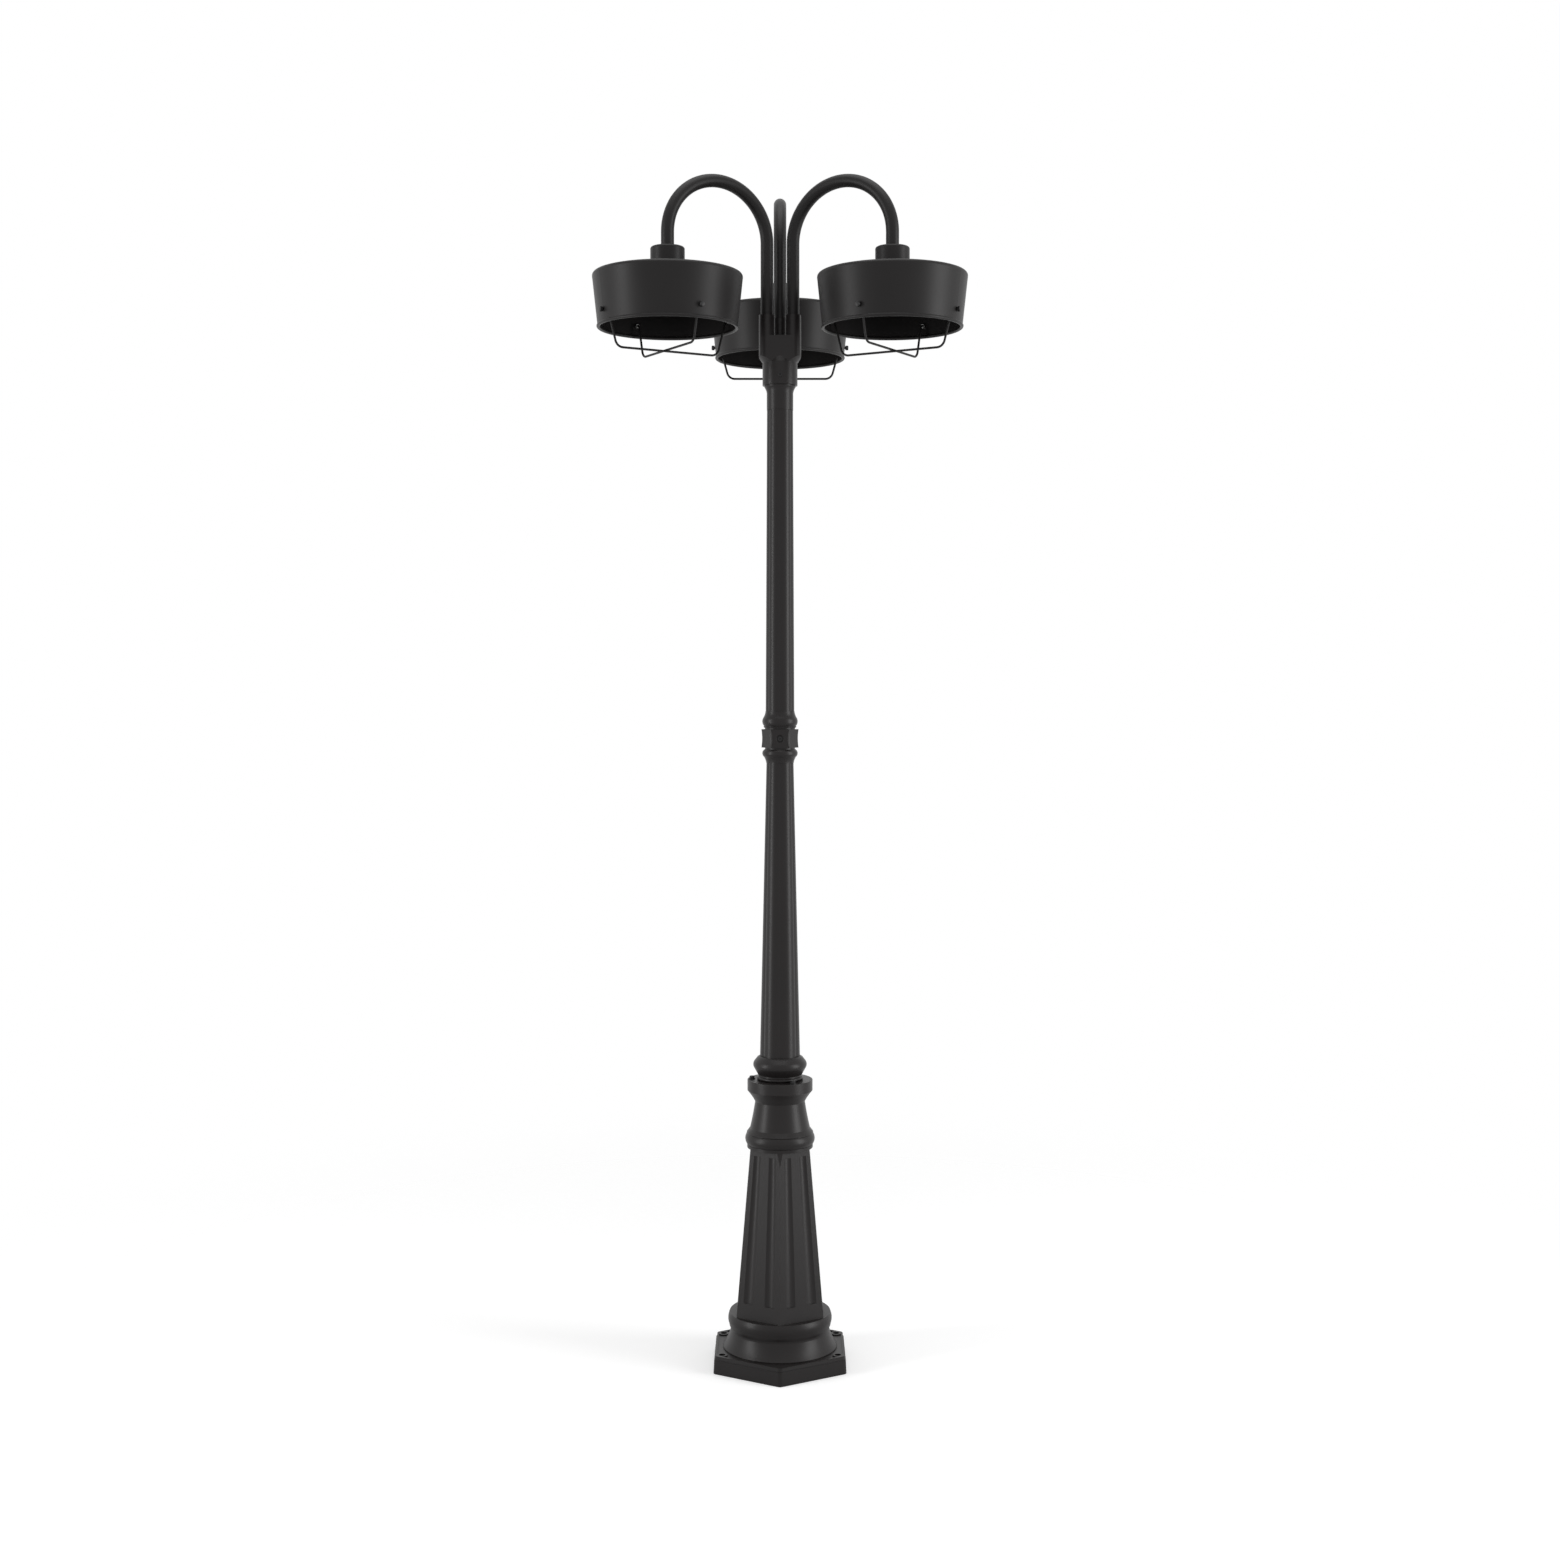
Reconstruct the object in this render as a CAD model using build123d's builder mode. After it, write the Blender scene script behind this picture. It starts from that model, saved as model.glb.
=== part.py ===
from build123d import *
from math import cos, radians, sin
import os

# Triple head lamp post: a cast post on a hexagonal base, with three gooseneck arms on a hub
# at the top, and a wide drum shade with a wire guard under each arm.
# Millimetres, +Z up. The origin is on the ground, in the middle of the anchor bolts, which is
# on the axis of the post. One arm points back (+Y), and two point to the front.

os.makedirs("parts", exist_ok=True)

# ---- Fits -----------------------------------------------------------------------------------
slip = 0.05                 # radial play of a pushed or threaded fit
turning = 0.1               # radial play where one piece turns in another
loose = 0.3                 # room left beside a piece that only lies in its place
sheet = 1.5                 # thickness of the pressed sheet metal

# ---- Base casting: plate, round foot, six-sided pedestal, bell, flange ring --------------------
corner_turn = 30            # turns a hexagon so that a corner points to the front
plate_corner_radius = 142.5
plate_corner_round = 9.0
plate_draft = 3.0           # degrees
skirt_height = 26.0
step_inset = 3.0
step_height = 7.0
lip_width = 5.0
lip_depth = 2.0
skirt_wall = 8.0
plate_roof = 6.0
anchor_circle_radius = 124.0
anchor_hole_radius = 6.0
anchor_boss_radius = 12.0
anchor_angles = (30, 150, 210, 330)

foot_radius = 107.5
foot_sweep_height = 30.0    # of the hollow curve from the plate's lip to the neck
foot_hollow = 2.0           # how far it curves in
foot_neck_radius = 93.2
foot_neck_height = 3.5
foot_step = 0.6             # each of the two fine steps under the roll stands out this far
foot_flank_radius = 94.6    # under the lower step
foot_flank_height = 5.5
foot_bead_radius = 96.4     # under the upper step
foot_bead_height = 7.5
foot_roll_radius = 97.5
foot_roll_belly = 6.5       # height of the roll's widest place
foot_roll_height = 17.9
foot_roll_lip = 94.6
foot_cavity_radius = 83.0

pedestal_bottom_radius = 93.4    # at the corners, where it leaves the round foot
pedestal_top_radius = 63.6
pedestal_height = 312.0
pedestal_wall = 9.0              # at the corners
flute_share = 0.23               # width of a flute, as a share of the face
flute_depth = 2.0
flute_low_end = 29.0             # plain stretch under the flutes
flute_high_end = 9.5             # plain stretch above the flutes
corner_fade = 25.0               # under the collar the six corners are rounded off by a cone
corner_fade_radius = 60.8        # of that cone at its top

collar_lip_radius = 61.6
collar_lip_height = 6.0
collar_groove_radius = 61.0      # of the fine grooves under and over the roll
collar_roll_radius = 65.2
collar_roll_belly = 10.6         # height of the roll's widest place
collar_roll_height = 21.5
collar_shoulder_radius = 62.3
collar_shoulder_height = 1.1
collar_flare_height = 8.0        # of the cone from the shoulder to the bell
bell_bottom_radius = 56.2
bell_top_radius = 46.6
bell_height = 50.0
bell_hollow = 0.6                # how far the bell's side curves in
bell_cavity_radius = 43.0
bell_cavity_height = 30.0
ring_radius = 61.0
ring_flare = 21.0                # height of the cone under the flange ring
ring_height = 20.0
ring_hollow = 0.8                # how far that cone curves in
ring_edge = 1.0                  # the rounded upper edge of the ring
spigot_radius = 36.0
spigot_length = 58.0
shaft_flange_radius = 57.0
shaft_flange_height = 6.0

flange_screw_circle = 52.6
flange_screw_angles = (57, 177, 297)
flange_screw_radius = 3.0
flange_screw_depth = 12.0
flange_washer_radius = 6.2
flange_washer_height = 1.6
flange_head_radius = 4.7
flange_head_height = 4.0

earth_screw_radius = 2.5
earth_screw_depth = 4.0
earth_head_radius = 4.5
earth_head_height = 3.0
earth_screw_level = 14.0

# ---- Post shafts: round mouldings at the ends, and six long lobes between them -----------------
valley_share = 0.94              # radius of the valley between two lobes, over the crest's
lobe_step = 0.4                  # the round mouldings stand out this far past the crests
bore_radius = 18.0
foot_bore_radius = 29.0          # the lower shaft's bore widens to this at its foot
shaft_band_radius = 43.4
shaft_band_height = 7.0
shaft_neck_radius = 40.6
shaft_neck_height = 3.0
shaft_roll_radius = 50.1
shaft_roll_foot = 41.5           # radius at the roll's lower end
shaft_roll_edge = 42.3           # and at its upper end
shaft_lower_flank = 48.0         # where the lower straight flank meets the round middle
shaft_lower_flank_height = 12.0
shaft_roll_belly = 18.5          # height of the roll's widest place
shaft_upper_flank = 47.2         # where the round middle meets the upper straight flank
shaft_upper_flank_level = 26.0   # height of that place
shaft_roll_height = 32.2
shaft_bead_radius = 38.2         # a narrow bead between the roll and the lobes
shaft_bead_height = 2.8
shaft_bead_edge = 2.3            # height over which the roll's top slopes to the bead
lower_lobe_bottom = 37.4
lower_lobe_top = 25.1
lower_lobe_length = 548.0
lower_top_flare_height = 11.0    # of the hollow curve under the ring
lower_top_hollow = 0.5           # how far it curves in
lower_top_bead_radius = 29.4
lower_top_ring_radius = 32.9
lower_top_ring_height = 14.0
lower_top_ring_belly = 7.0       # height of the ring's widest place
joint_neck_radius = 28.0
joint_neck_height = 3.5          # below the coupling

coupling_corner_radius = 34.5
coupling_waist_radius = 33.1     # of the corners at mid height, where they are turned hollow
coupling_height = 34.0
coupling_screw_radius = 4.0
coupling_sink_radius = 6.5
coupling_sink_bevel = 0.8
bevel_angle = 45                 # degrees
coupling_sink_depth = 4.0
set_screw_angles = (270, 30, 150)
nipple_radius = 21.0
nipple_bore_radius = 17.0
nipple_reach = 50.0              # how far it goes into each shaft

upper_neck_height = 3.0          # above the coupling
upper_bead_radius = 30.4
upper_bead_height = 3.0
upper_bead_groove = 29.6         # radius of the fine groove between the bead and the roll
upper_roll_radius = 32.9
upper_roll_edge = 30.6           # radius at the roll's upper end
upper_roll_belly = 7.5           # height of the roll's widest place
upper_roll_height = 16.0
upper_flare_height = 11.5
upper_flare_hollow = 0.7         # how far the flare curves in
upper_lobe_bottom = 26.5
upper_lobe_top = 23.9
upper_lobe_length = 554.0
upper_plain_length = 31.0
upper_cap_radius = 28.6
upper_cap_height = 14.0
upper_cap_hollow = 0.7           # how far the cap curves in
upper_cap_band = 3.0             # plain edge under the hub
tenon_radius = 24.5
tenon_height = 38.0

# ---- Hub on top of the post --------------------------------------------------------------------
hub_radius = 32.2
hub_barrel_height = 41.0
hub_cone_height = 11.0
hub_web_top = 88.0               # of the web between the three sockets, above the hub's foot
hub_web_inset = 0.4              # the round stretch under the web ends inside its flat faces
hub_height = 126.0
hub_cavity_height = 55.0
arm_pitch_radius = 27.5          # where the arms stand round the post's axis
arm_socket_radius = 14.9
arm_seat_height = 61.0           # the arms stand on a seat this high in the hub
lead_hole_radius = 4.5
hub_screw_radius = 3.5
hub_screw_level = 16.0
hub_screw_stand = 2.2            # the set screws stand out by this much
hex_key_radius = 2.0             # socket in the end of a set screw, at its corners
hex_key_depth = 3.0

block_radius = 13.0
block_height = 12.0
post_lead_radius = 4.0
post_lead_end = 120.0            # the tail ends this high in the pedestal

# ---- Arms and heads. One arm is made along +X, and turned to its place round the post ----------
arm_angles = {"left": 210, "right": 330, "back": 90}
head_reach = 231.0               # from the post's axis to a head's axis
arm_tube_radius = 11.7
arm_tube_wall = 1.5
arm_top_level = 2193.0
lead_radius = 2.5
lead_side_step = 19.8            # where a lead rises out of the hub
lead_rise = 12.0                 # straight stretch of a lead above the arm's seat
lead_sway = 60.0                 # height over which it then moves to the tube's middle
lead_corner = 6.0                # bend of a lead beside the terminal block
lead_bend = 150.0                # its easy bends in the tube

cup_radius = 30.7
cup_height = 47.0
cup_wall = 2.0
cup_edge = 4.0
shade_top_level = 2006.0
shade_top_radius = 134.8
shade_rim_radius = 124.8
shade_height = 93.7              # down to the middle of the rolled rim
shade_edge = 6.0
rim_roll_radius = 3.1
rim_roll_stand = 1.8             # how far the rim stands out from the wall

bushing_length = 18.0
stem_radius = 5.0
stem_bore_radius = 3.2
stem_reach = 16.0                # into the bushing
locknut_across_corners = 18.0
locknut_height = 4.0

holder_radius = 19.5
holder_length = 59.0
holder_roof = 5.0
holder_cavity_radius = 15.0
holder_cavity_height = 12.0
holder_web = 4.0
contact_radius = 4.0
contact_height = 5.0
contact_post_radius = 2.0
contact_post_height = 2.0
shell_wall = 0.8
shade_ring_radius = 28.0
shade_ring_height = 7.0

bulb_cap_radius = 13.2
bulb_cap_length = 27.0
bulb_cap_seat = 8.0              # depth of the glass neck in the cap
bulb_tip_radius = 4.5
bulb_tip_height = 2.0
bulb_radius = 24.0
bulb_neck_radius = 12.4
bulb_glass_length = 58.0
bulb_glass_wall = 1.0

guard_level = 19.7               # of the screwed wire ends, above the middle of the rim
guard_drop = 43.3                # of the lower wire, below the middle of the rim
guard_wire_radius = 2.0
guard_inset = 8.9                # from the inside of the shade's wall to a leg's upper end
guard_lean = 16.5                # a leg's foot stands this much further in
guard_top_bend = 5.0
guard_foot_bend = 15.0
guard_weld = 1.0                 # how deep the crossing wires sink into each other
guard_nut_across_corners = 8.0
guard_nut_height = 3.0
guard_nut_gap = 0.6
knob_radius = 4.5
knob_length = 6.0
knob_roof = 1.5
quarter_angles = (0, 90, 180, 270)

# ---- Levels that follow from the sizes above ---------------------------------------------------
plate_height = skirt_height + step_height
plate_cavity_height = plate_height - lip_depth - plate_roof
foot_top = plate_height - lip_depth
neck_level = plate_height + foot_sweep_height
flank_level = neck_level + foot_neck_height
bead_level = flank_level + foot_flank_height
roll_level = bead_level + foot_bead_height
pedestal_bottom = roll_level + foot_roll_height
pedestal_top = pedestal_bottom + pedestal_height
lip_top = pedestal_top + collar_lip_height
collar_roll_top = lip_top + collar_roll_height
shoulder_top = collar_roll_top + collar_shoulder_height
bell_bottom = shoulder_top + collar_flare_height
bell_top = bell_bottom + bell_height
ring_bottom = bell_top + ring_flare
ring_top = ring_bottom + ring_height
flange_seat = ring_top - shaft_flange_height

shaft_roll_bottom = ring_top + shaft_band_height + shaft_neck_height
shaft_bead_bottom = shaft_roll_bottom + shaft_roll_height
lower_lobe_start = shaft_bead_bottom + shaft_bead_height
lower_lobe_end = lower_lobe_start + lower_lobe_length
lower_ring_bottom = lower_lobe_end + lower_top_flare_height
lower_ring_top = lower_ring_bottom + lower_top_ring_height
coupling_bottom = lower_ring_top + joint_neck_height
coupling_top = coupling_bottom + coupling_height
upper_bead_bottom = coupling_top + upper_neck_height
upper_roll_bottom = upper_bead_bottom + upper_bead_height
upper_flare_bottom = upper_roll_bottom + upper_roll_height
upper_lobe_start = upper_flare_bottom + upper_flare_height
upper_lobe_end = upper_lobe_start + upper_lobe_length
upper_cap_bottom = upper_lobe_end + upper_plain_length
hub_bottom = upper_cap_bottom + upper_cap_height

hub_cone_bottom = hub_bottom + hub_barrel_height
cavity_roof = hub_bottom + hub_cavity_height
arm_seat = hub_bottom + arm_seat_height
arm_bend_radius = (head_reach - arm_pitch_radius) / 2
arm_bend_level = arm_top_level - arm_tube_radius - arm_bend_radius
tube_bore_radius = arm_tube_radius - arm_tube_wall

cup_top = shade_top_level + cup_height
holder_top = cup_top - cup_wall
holder_mouth = holder_top - holder_length
holder_web_bottom = holder_top - holder_roof - holder_cavity_height - holder_web
shell_bottom = holder_mouth + sheet
shell_radius = bulb_cap_radius + turning + shell_wall
contact_bottom = holder_web_bottom - contact_height
bulb_tip_level = contact_bottom - loose
bulb_cap_top = bulb_tip_level - bulb_tip_height
bulb_cap_bottom = bulb_cap_top - bulb_cap_length
rim_level = shade_top_level - shade_height
guard_hole_level = rim_level + guard_level
wall_slope = (shade_top_radius - shade_rim_radius) / shade_height
wall_outside = shade_rim_radius + guard_level * wall_slope
wall_inside = wall_outside - sheet
guard_top_reach = wall_inside - guard_inset
guard_foot_reach = guard_top_reach - guard_lean
knob_start = wall_outside + knob_radius * wall_slope + guard_nut_gap / 2


def export(part, name):
    """Label one finished piece and write it under its own name."""
    part.label = name
    export_step(part, f"parts/{name}.step")


def on_circle(radius, angles):
    """Places on a circle round the post's axis."""
    return [(radius * cos(radians(a)), radius * sin(radians(a))) for a in angles]


def lobed(radius):
    """A closed outline of six shallow lobes, with a valley to the front."""
    valleys = on_circle(radius * valley_share, range(30, 420, 60))
    crests = on_circle(radius, range(60, 420, 60))
    with BuildLine() as outline:
        for start, crest, end in zip(valleys, crests, valleys[1:]):
            ThreePointArc(start, crest, end)
    return outline.line


def radial(azimuth, level, reach):
    """A plane that faces out from the post's axis, at a reach and a level."""
    out = Vector(cos(radians(azimuth)), sin(radians(azimuth)), 0)
    return Plane(origin=out * reach + Vector(0, 0, level), x_dir=(0, 0, 1), z_dir=out)


# ---- Base casting ------------------------------------------------------------------------------
anchor_places = on_circle(anchor_circle_radius, anchor_angles)
face_radius = cos(radians(30))       # a hexagon's flat over its corner radius
pedestal_foot_radius = pedestal_bottom_radius + (
    (pedestal_bottom_radius - pedestal_top_radius) * (pedestal_bottom - foot_top) / pedestal_height)

with BuildPart() as base_pedestal:
    # the plate, with a small step below its top edge, and a raised lip
    with BuildSketch() as plate_outline:
        RegularPolygon(plate_corner_radius, 6, rotation=corner_turn)
        fillet(plate_outline.vertices(), plate_corner_round)
    extrude(amount=skirt_height, taper=plate_draft)
    with BuildSketch(Plane.XY.offset(skirt_height)) as step_outline:
        RegularPolygon(plate_corner_radius - step_inset, 6, rotation=corner_turn)
        fillet(step_outline.vertices(), plate_corner_round)
    extrude(amount=step_height, taper=2 * plate_draft)
    with BuildSketch(Plane.XY.offset(plate_height)) as lip_outline:
        RegularPolygon(plate_corner_radius - step_inset - lip_width, 6, rotation=corner_turn)
        fillet(lip_outline.vertices(), plate_corner_round)
        with Locations(*anchor_places):
            Circle(anchor_boss_radius - lip_depth, mode=Mode.SUBTRACT)
    extrude(amount=-lip_depth, mode=Mode.SUBTRACT)
    # the round foot: a hollow curve up to a neck, two fine steps and a roll
    with BuildSketch(Plane.XZ):
        with BuildLine():
            Polyline((0, foot_top), (foot_radius, foot_top), (foot_radius, plate_height))
            SagittaArc((foot_radius, plate_height), (foot_neck_radius, neck_level), foot_hollow)
            Polyline((foot_neck_radius, neck_level), (foot_neck_radius, flank_level),
                     (foot_flank_radius, bead_level), (foot_flank_radius + foot_step, bead_level),
                     (foot_bead_radius, roll_level), (foot_bead_radius + foot_step, roll_level))
            ThreePointArc((foot_bead_radius + foot_step, roll_level),
                          (foot_roll_radius, roll_level + foot_roll_belly),
                          (foot_roll_lip, pedestal_bottom))
            Polyline((foot_roll_lip, pedestal_bottom), (0, pedestal_bottom), (0, foot_top))
        make_face()
    revolve(axis=Axis.Z)
    # the six-sided pedestal, which narrows to the top
    with BuildSketch(Plane.XY.offset(pedestal_bottom)):
        RegularPolygon(pedestal_bottom_radius, 6, rotation=corner_turn)
    with BuildSketch(Plane.XY.offset(pedestal_top)):
        RegularPolygon(pedestal_top_radius, 6, rotation=corner_turn)
    loft()

face_lean = (pedestal_bottom_radius - pedestal_top_radius) * face_radius / pedestal_height
corner_end_radius = pedestal_top_radius + corner_fade * face_lean / face_radius


def flute_cutter(side):
    """A long cone that lies along one half of the pedestal's right-hand face."""
    with BuildPart() as cutter:
        for level in (pedestal_bottom + flute_low_end, pedestal_top - flute_high_end):
            corner = pedestal_bottom_radius - (level - pedestal_bottom) * face_lean / face_radius
            half_width = corner * flute_share / 2
            tool = (half_width**2 + flute_depth**2) / (2 * flute_depth)
            with BuildSketch(Plane.XY.offset(level)):
                with Locations((corner * face_radius + tool - flute_depth, side * corner / 4)):
                    Circle(tool)
        loft()
    return cutter.part


flute_pair = [flute_cutter(side) for side in (-1, 1)]

with base_pedestal:
    for turn in range(0, 360, 60):
        for cutter in flute_pair:
            add(cutter.rotate(Axis.Z, turn), mode=Mode.SUBTRACT)
    with BuildSketch(Plane.XZ):
        with BuildLine():
            Polyline((corner_fade_radius, pedestal_top), (pedestal_bottom_radius, pedestal_top),
                     (pedestal_bottom_radius, pedestal_top - corner_fade),
                     (corner_end_radius, pedestal_top - corner_fade),
                     (corner_fade_radius, pedestal_top))
        make_face()
    revolve(axis=Axis.Z, mode=Mode.SUBTRACT)
    # mouldings, bell and flange ring
    with BuildSketch(Plane.XZ):
        with BuildLine():
            Polyline((0, pedestal_top), (collar_lip_radius, pedestal_top),
                     (collar_lip_radius, lip_top), (collar_groove_radius, lip_top))
            ThreePointArc((collar_groove_radius, lip_top),
                          (collar_roll_radius, lip_top + collar_roll_belly),
                          (collar_groove_radius, collar_roll_top))
            Polyline((collar_groove_radius, collar_roll_top),
                     (collar_shoulder_radius, collar_roll_top),
                     (collar_shoulder_radius, shoulder_top), (bell_bottom_radius, bell_bottom))
            SagittaArc((bell_bottom_radius, bell_bottom), (bell_top_radius, bell_top), bell_hollow)
            SagittaArc((bell_top_radius, bell_top), (ring_radius, ring_bottom), ring_hollow)
            Line((ring_radius, ring_bottom), (ring_radius, ring_top - ring_edge))
            RadiusArc((ring_radius, ring_top - ring_edge),
                      (ring_radius - ring_edge, ring_top), -ring_edge)
            Polyline((ring_radius - ring_edge, ring_top), (0, ring_top), (0, pedestal_top))
        make_face()
    revolve(axis=Axis.Z)
    # hollow inside: the plate with its anchor bosses, the pedestal, the bell, the shaft's seat
    with BuildSketch():
        RegularPolygon(plate_corner_radius - skirt_wall, 6, rotation=corner_turn)
        with Locations(*anchor_places):
            Circle(anchor_boss_radius, mode=Mode.SUBTRACT)
    extrude(amount=plate_cavity_height, mode=Mode.SUBTRACT)
    with BuildSketch(Plane.XY.offset(plate_cavity_height)):
        Circle(foot_cavity_radius)
    extrude(amount=flank_level - plate_cavity_height, mode=Mode.SUBTRACT)
    with BuildSketch(Plane.XY.offset(plate_cavity_height)):
        RegularPolygon(pedestal_foot_radius - pedestal_wall, 6, rotation=corner_turn)
    with BuildSketch(Plane.XY.offset(pedestal_top)):
        RegularPolygon(pedestal_top_radius - pedestal_wall, 6, rotation=corner_turn)
    loft(mode=Mode.SUBTRACT)
    with BuildSketch(Plane.XY.offset(pedestal_top)):
        Circle(bell_cavity_radius)
    extrude(amount=bell_bottom + bell_cavity_height - pedestal_top, mode=Mode.SUBTRACT)
    with BuildSketch(Plane.XY.offset(pedestal_top)):
        Circle(spigot_radius + slip)
    extrude(amount=flange_seat - pedestal_top, mode=Mode.SUBTRACT)
    with BuildSketch(Plane.XY.offset(flange_seat)):
        Circle(shaft_flange_radius + slip)
    extrude(amount=shaft_flange_height, mode=Mode.SUBTRACT)
    # anchor holes, tapped holes for the flange screws, and the earth screw's hole
    with Locations(*[(x, y, plate_height) for x, y in anchor_places]):
        Hole(anchor_hole_radius)
    with BuildSketch(Plane.XY.offset(flange_seat)):
        with Locations(*on_circle(flange_screw_circle, flange_screw_angles)):
            Circle(flange_screw_radius + slip)
    extrude(amount=-flange_screw_depth, mode=Mode.SUBTRACT)
    skirt_inside = (plate_corner_radius - skirt_wall) * face_radius
    with BuildSketch(radial(0, earth_screw_level, skirt_inside)):
        Circle(earth_screw_radius + slip)
    extrude(amount=earth_screw_depth, mode=Mode.SUBTRACT)
export(base_pedestal.part, "base_pedestal")

with BuildPart() as flange_screws:
    screw_places = on_circle(flange_screw_circle, flange_screw_angles)
    shank_length = flange_screw_depth + shaft_flange_height - loose
    with BuildSketch(Plane.XY.offset(ring_top)):
        with Locations(*screw_places):
            Circle(flange_screw_radius)
    extrude(amount=-shank_length)
    with BuildSketch(Plane.XY.offset(ring_top)):
        with Locations(*screw_places):
            Circle(flange_washer_radius)
    extrude(amount=flange_washer_height)
    with BuildSketch(Plane.XY.offset(ring_top + flange_washer_height)):
        with Locations(*screw_places):
            RegularPolygon(flange_head_radius, 6)
    extrude(amount=flange_head_height)
export(flange_screws.part, "flange_screws")

with BuildPart() as earth_screw:
    with BuildSketch(radial(0, earth_screw_level, skirt_inside)):
        Circle(earth_head_radius)
    extrude(amount=-earth_head_height)
    with BuildSketch(radial(0, earth_screw_level, skirt_inside)):
        Circle(earth_screw_radius)
    extrude(amount=earth_screw_depth - loose)
    with BuildSketch(radial(0, earth_screw_level, skirt_inside - earth_head_height)):
        Rectangle(2 * earth_head_radius, earth_screw_radius / 3)
    extrude(amount=earth_head_height / 2, mode=Mode.SUBTRACT)
export(earth_screw.part, "earth_screw")

# ---- Lower shaft -------------------------------------------------------------------------------
with BuildPart() as lower_shaft:
    with BuildSketch(Plane.XY.offset(lower_lobe_start)):
        add(lobed(lower_lobe_bottom))
        make_face()
    with BuildSketch(Plane.XY.offset(lower_lobe_end)):
        add(lobed(lower_lobe_top))
        make_face()
    loft()
    with BuildSketch(Plane.XZ):
        band_top = ring_top + shaft_band_height
        with BuildLine():
            Polyline((0, flange_seat - spigot_length), (spigot_radius, flange_seat - spigot_length),
                     (spigot_radius, flange_seat), (shaft_flange_radius, flange_seat),
                     (shaft_flange_radius, ring_top), (shaft_neck_radius, ring_top))
            ThreePointArc((shaft_neck_radius, ring_top),
                          (shaft_band_radius, (ring_top + band_top) / 2),
                          (shaft_neck_radius, band_top))
            Polyline((shaft_neck_radius, band_top), (shaft_neck_radius, shaft_roll_bottom),
                     (shaft_roll_foot, shaft_roll_bottom),
                     (shaft_lower_flank, shaft_roll_bottom + shaft_lower_flank_height))
            ThreePointArc((shaft_lower_flank, shaft_roll_bottom + shaft_lower_flank_height),
                          (shaft_roll_radius, shaft_roll_bottom + shaft_roll_belly),
                          (shaft_upper_flank, shaft_roll_bottom + shaft_upper_flank_level))
            Polyline((shaft_upper_flank, shaft_roll_bottom + shaft_upper_flank_level),
                     (shaft_roll_edge, shaft_bead_bottom),
                     (shaft_bead_radius, shaft_bead_bottom + shaft_bead_edge),
                     (shaft_bead_radius, lower_lobe_start), (0, lower_lobe_start),
                     (0, flange_seat - spigot_length))
        make_face()
    revolve(axis=Axis.Z)
    with BuildSketch(Plane.XZ):
        with BuildLine():
            Line((0, lower_lobe_end), (lower_lobe_top + lobe_step, lower_lobe_end))
            SagittaArc((lower_lobe_top + lobe_step, lower_lobe_end),
                       (lower_top_bead_radius, lower_ring_bottom), lower_top_hollow)
            ThreePointArc((lower_top_bead_radius, lower_ring_bottom),
                          (lower_top_ring_radius, lower_ring_bottom + lower_top_ring_belly),
                          (lower_top_bead_radius, lower_ring_top))
            Polyline((lower_top_bead_radius, lower_ring_top), (joint_neck_radius, lower_ring_top),
                     (joint_neck_radius, coupling_bottom), (0, coupling_bottom),
                     (0, lower_lobe_end))
        make_face()
    revolve(axis=Axis.Z)
    with BuildSketch(Plane.XY.offset(flange_seat - spigot_length)):
        Circle(foot_bore_radius)
    with BuildSketch(Plane.XY.offset(coupling_bottom)):
        Circle(bore_radius)
    loft(mode=Mode.SUBTRACT)
    with BuildSketch(Plane.XY.offset(coupling_bottom)):
        Circle(nipple_radius + slip)
    extrude(amount=-nipple_reach, mode=Mode.SUBTRACT)
    with BuildSketch(Plane.XY.offset(ring_top)):
        with Locations(*screw_places):
            Circle(flange_screw_radius + slip)
    extrude(amount=-shaft_flange_height, mode=Mode.SUBTRACT)
export(lower_shaft.part, "lower_shaft")

# ---- Joint between the two shafts --------------------------------------------------------------
with BuildPart() as joint_nipple:
    with BuildSketch(Plane.XY.offset(coupling_bottom - nipple_reach)):
        Circle(nipple_radius)
        Circle(nipple_bore_radius, mode=Mode.SUBTRACT)
    extrude(amount=coupling_height + 2 * nipple_reach)
export(joint_nipple.part, "joint_nipple")

coupling_face = coupling_corner_radius * face_radius
coupling_middle = (coupling_bottom + coupling_top) / 2

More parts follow.
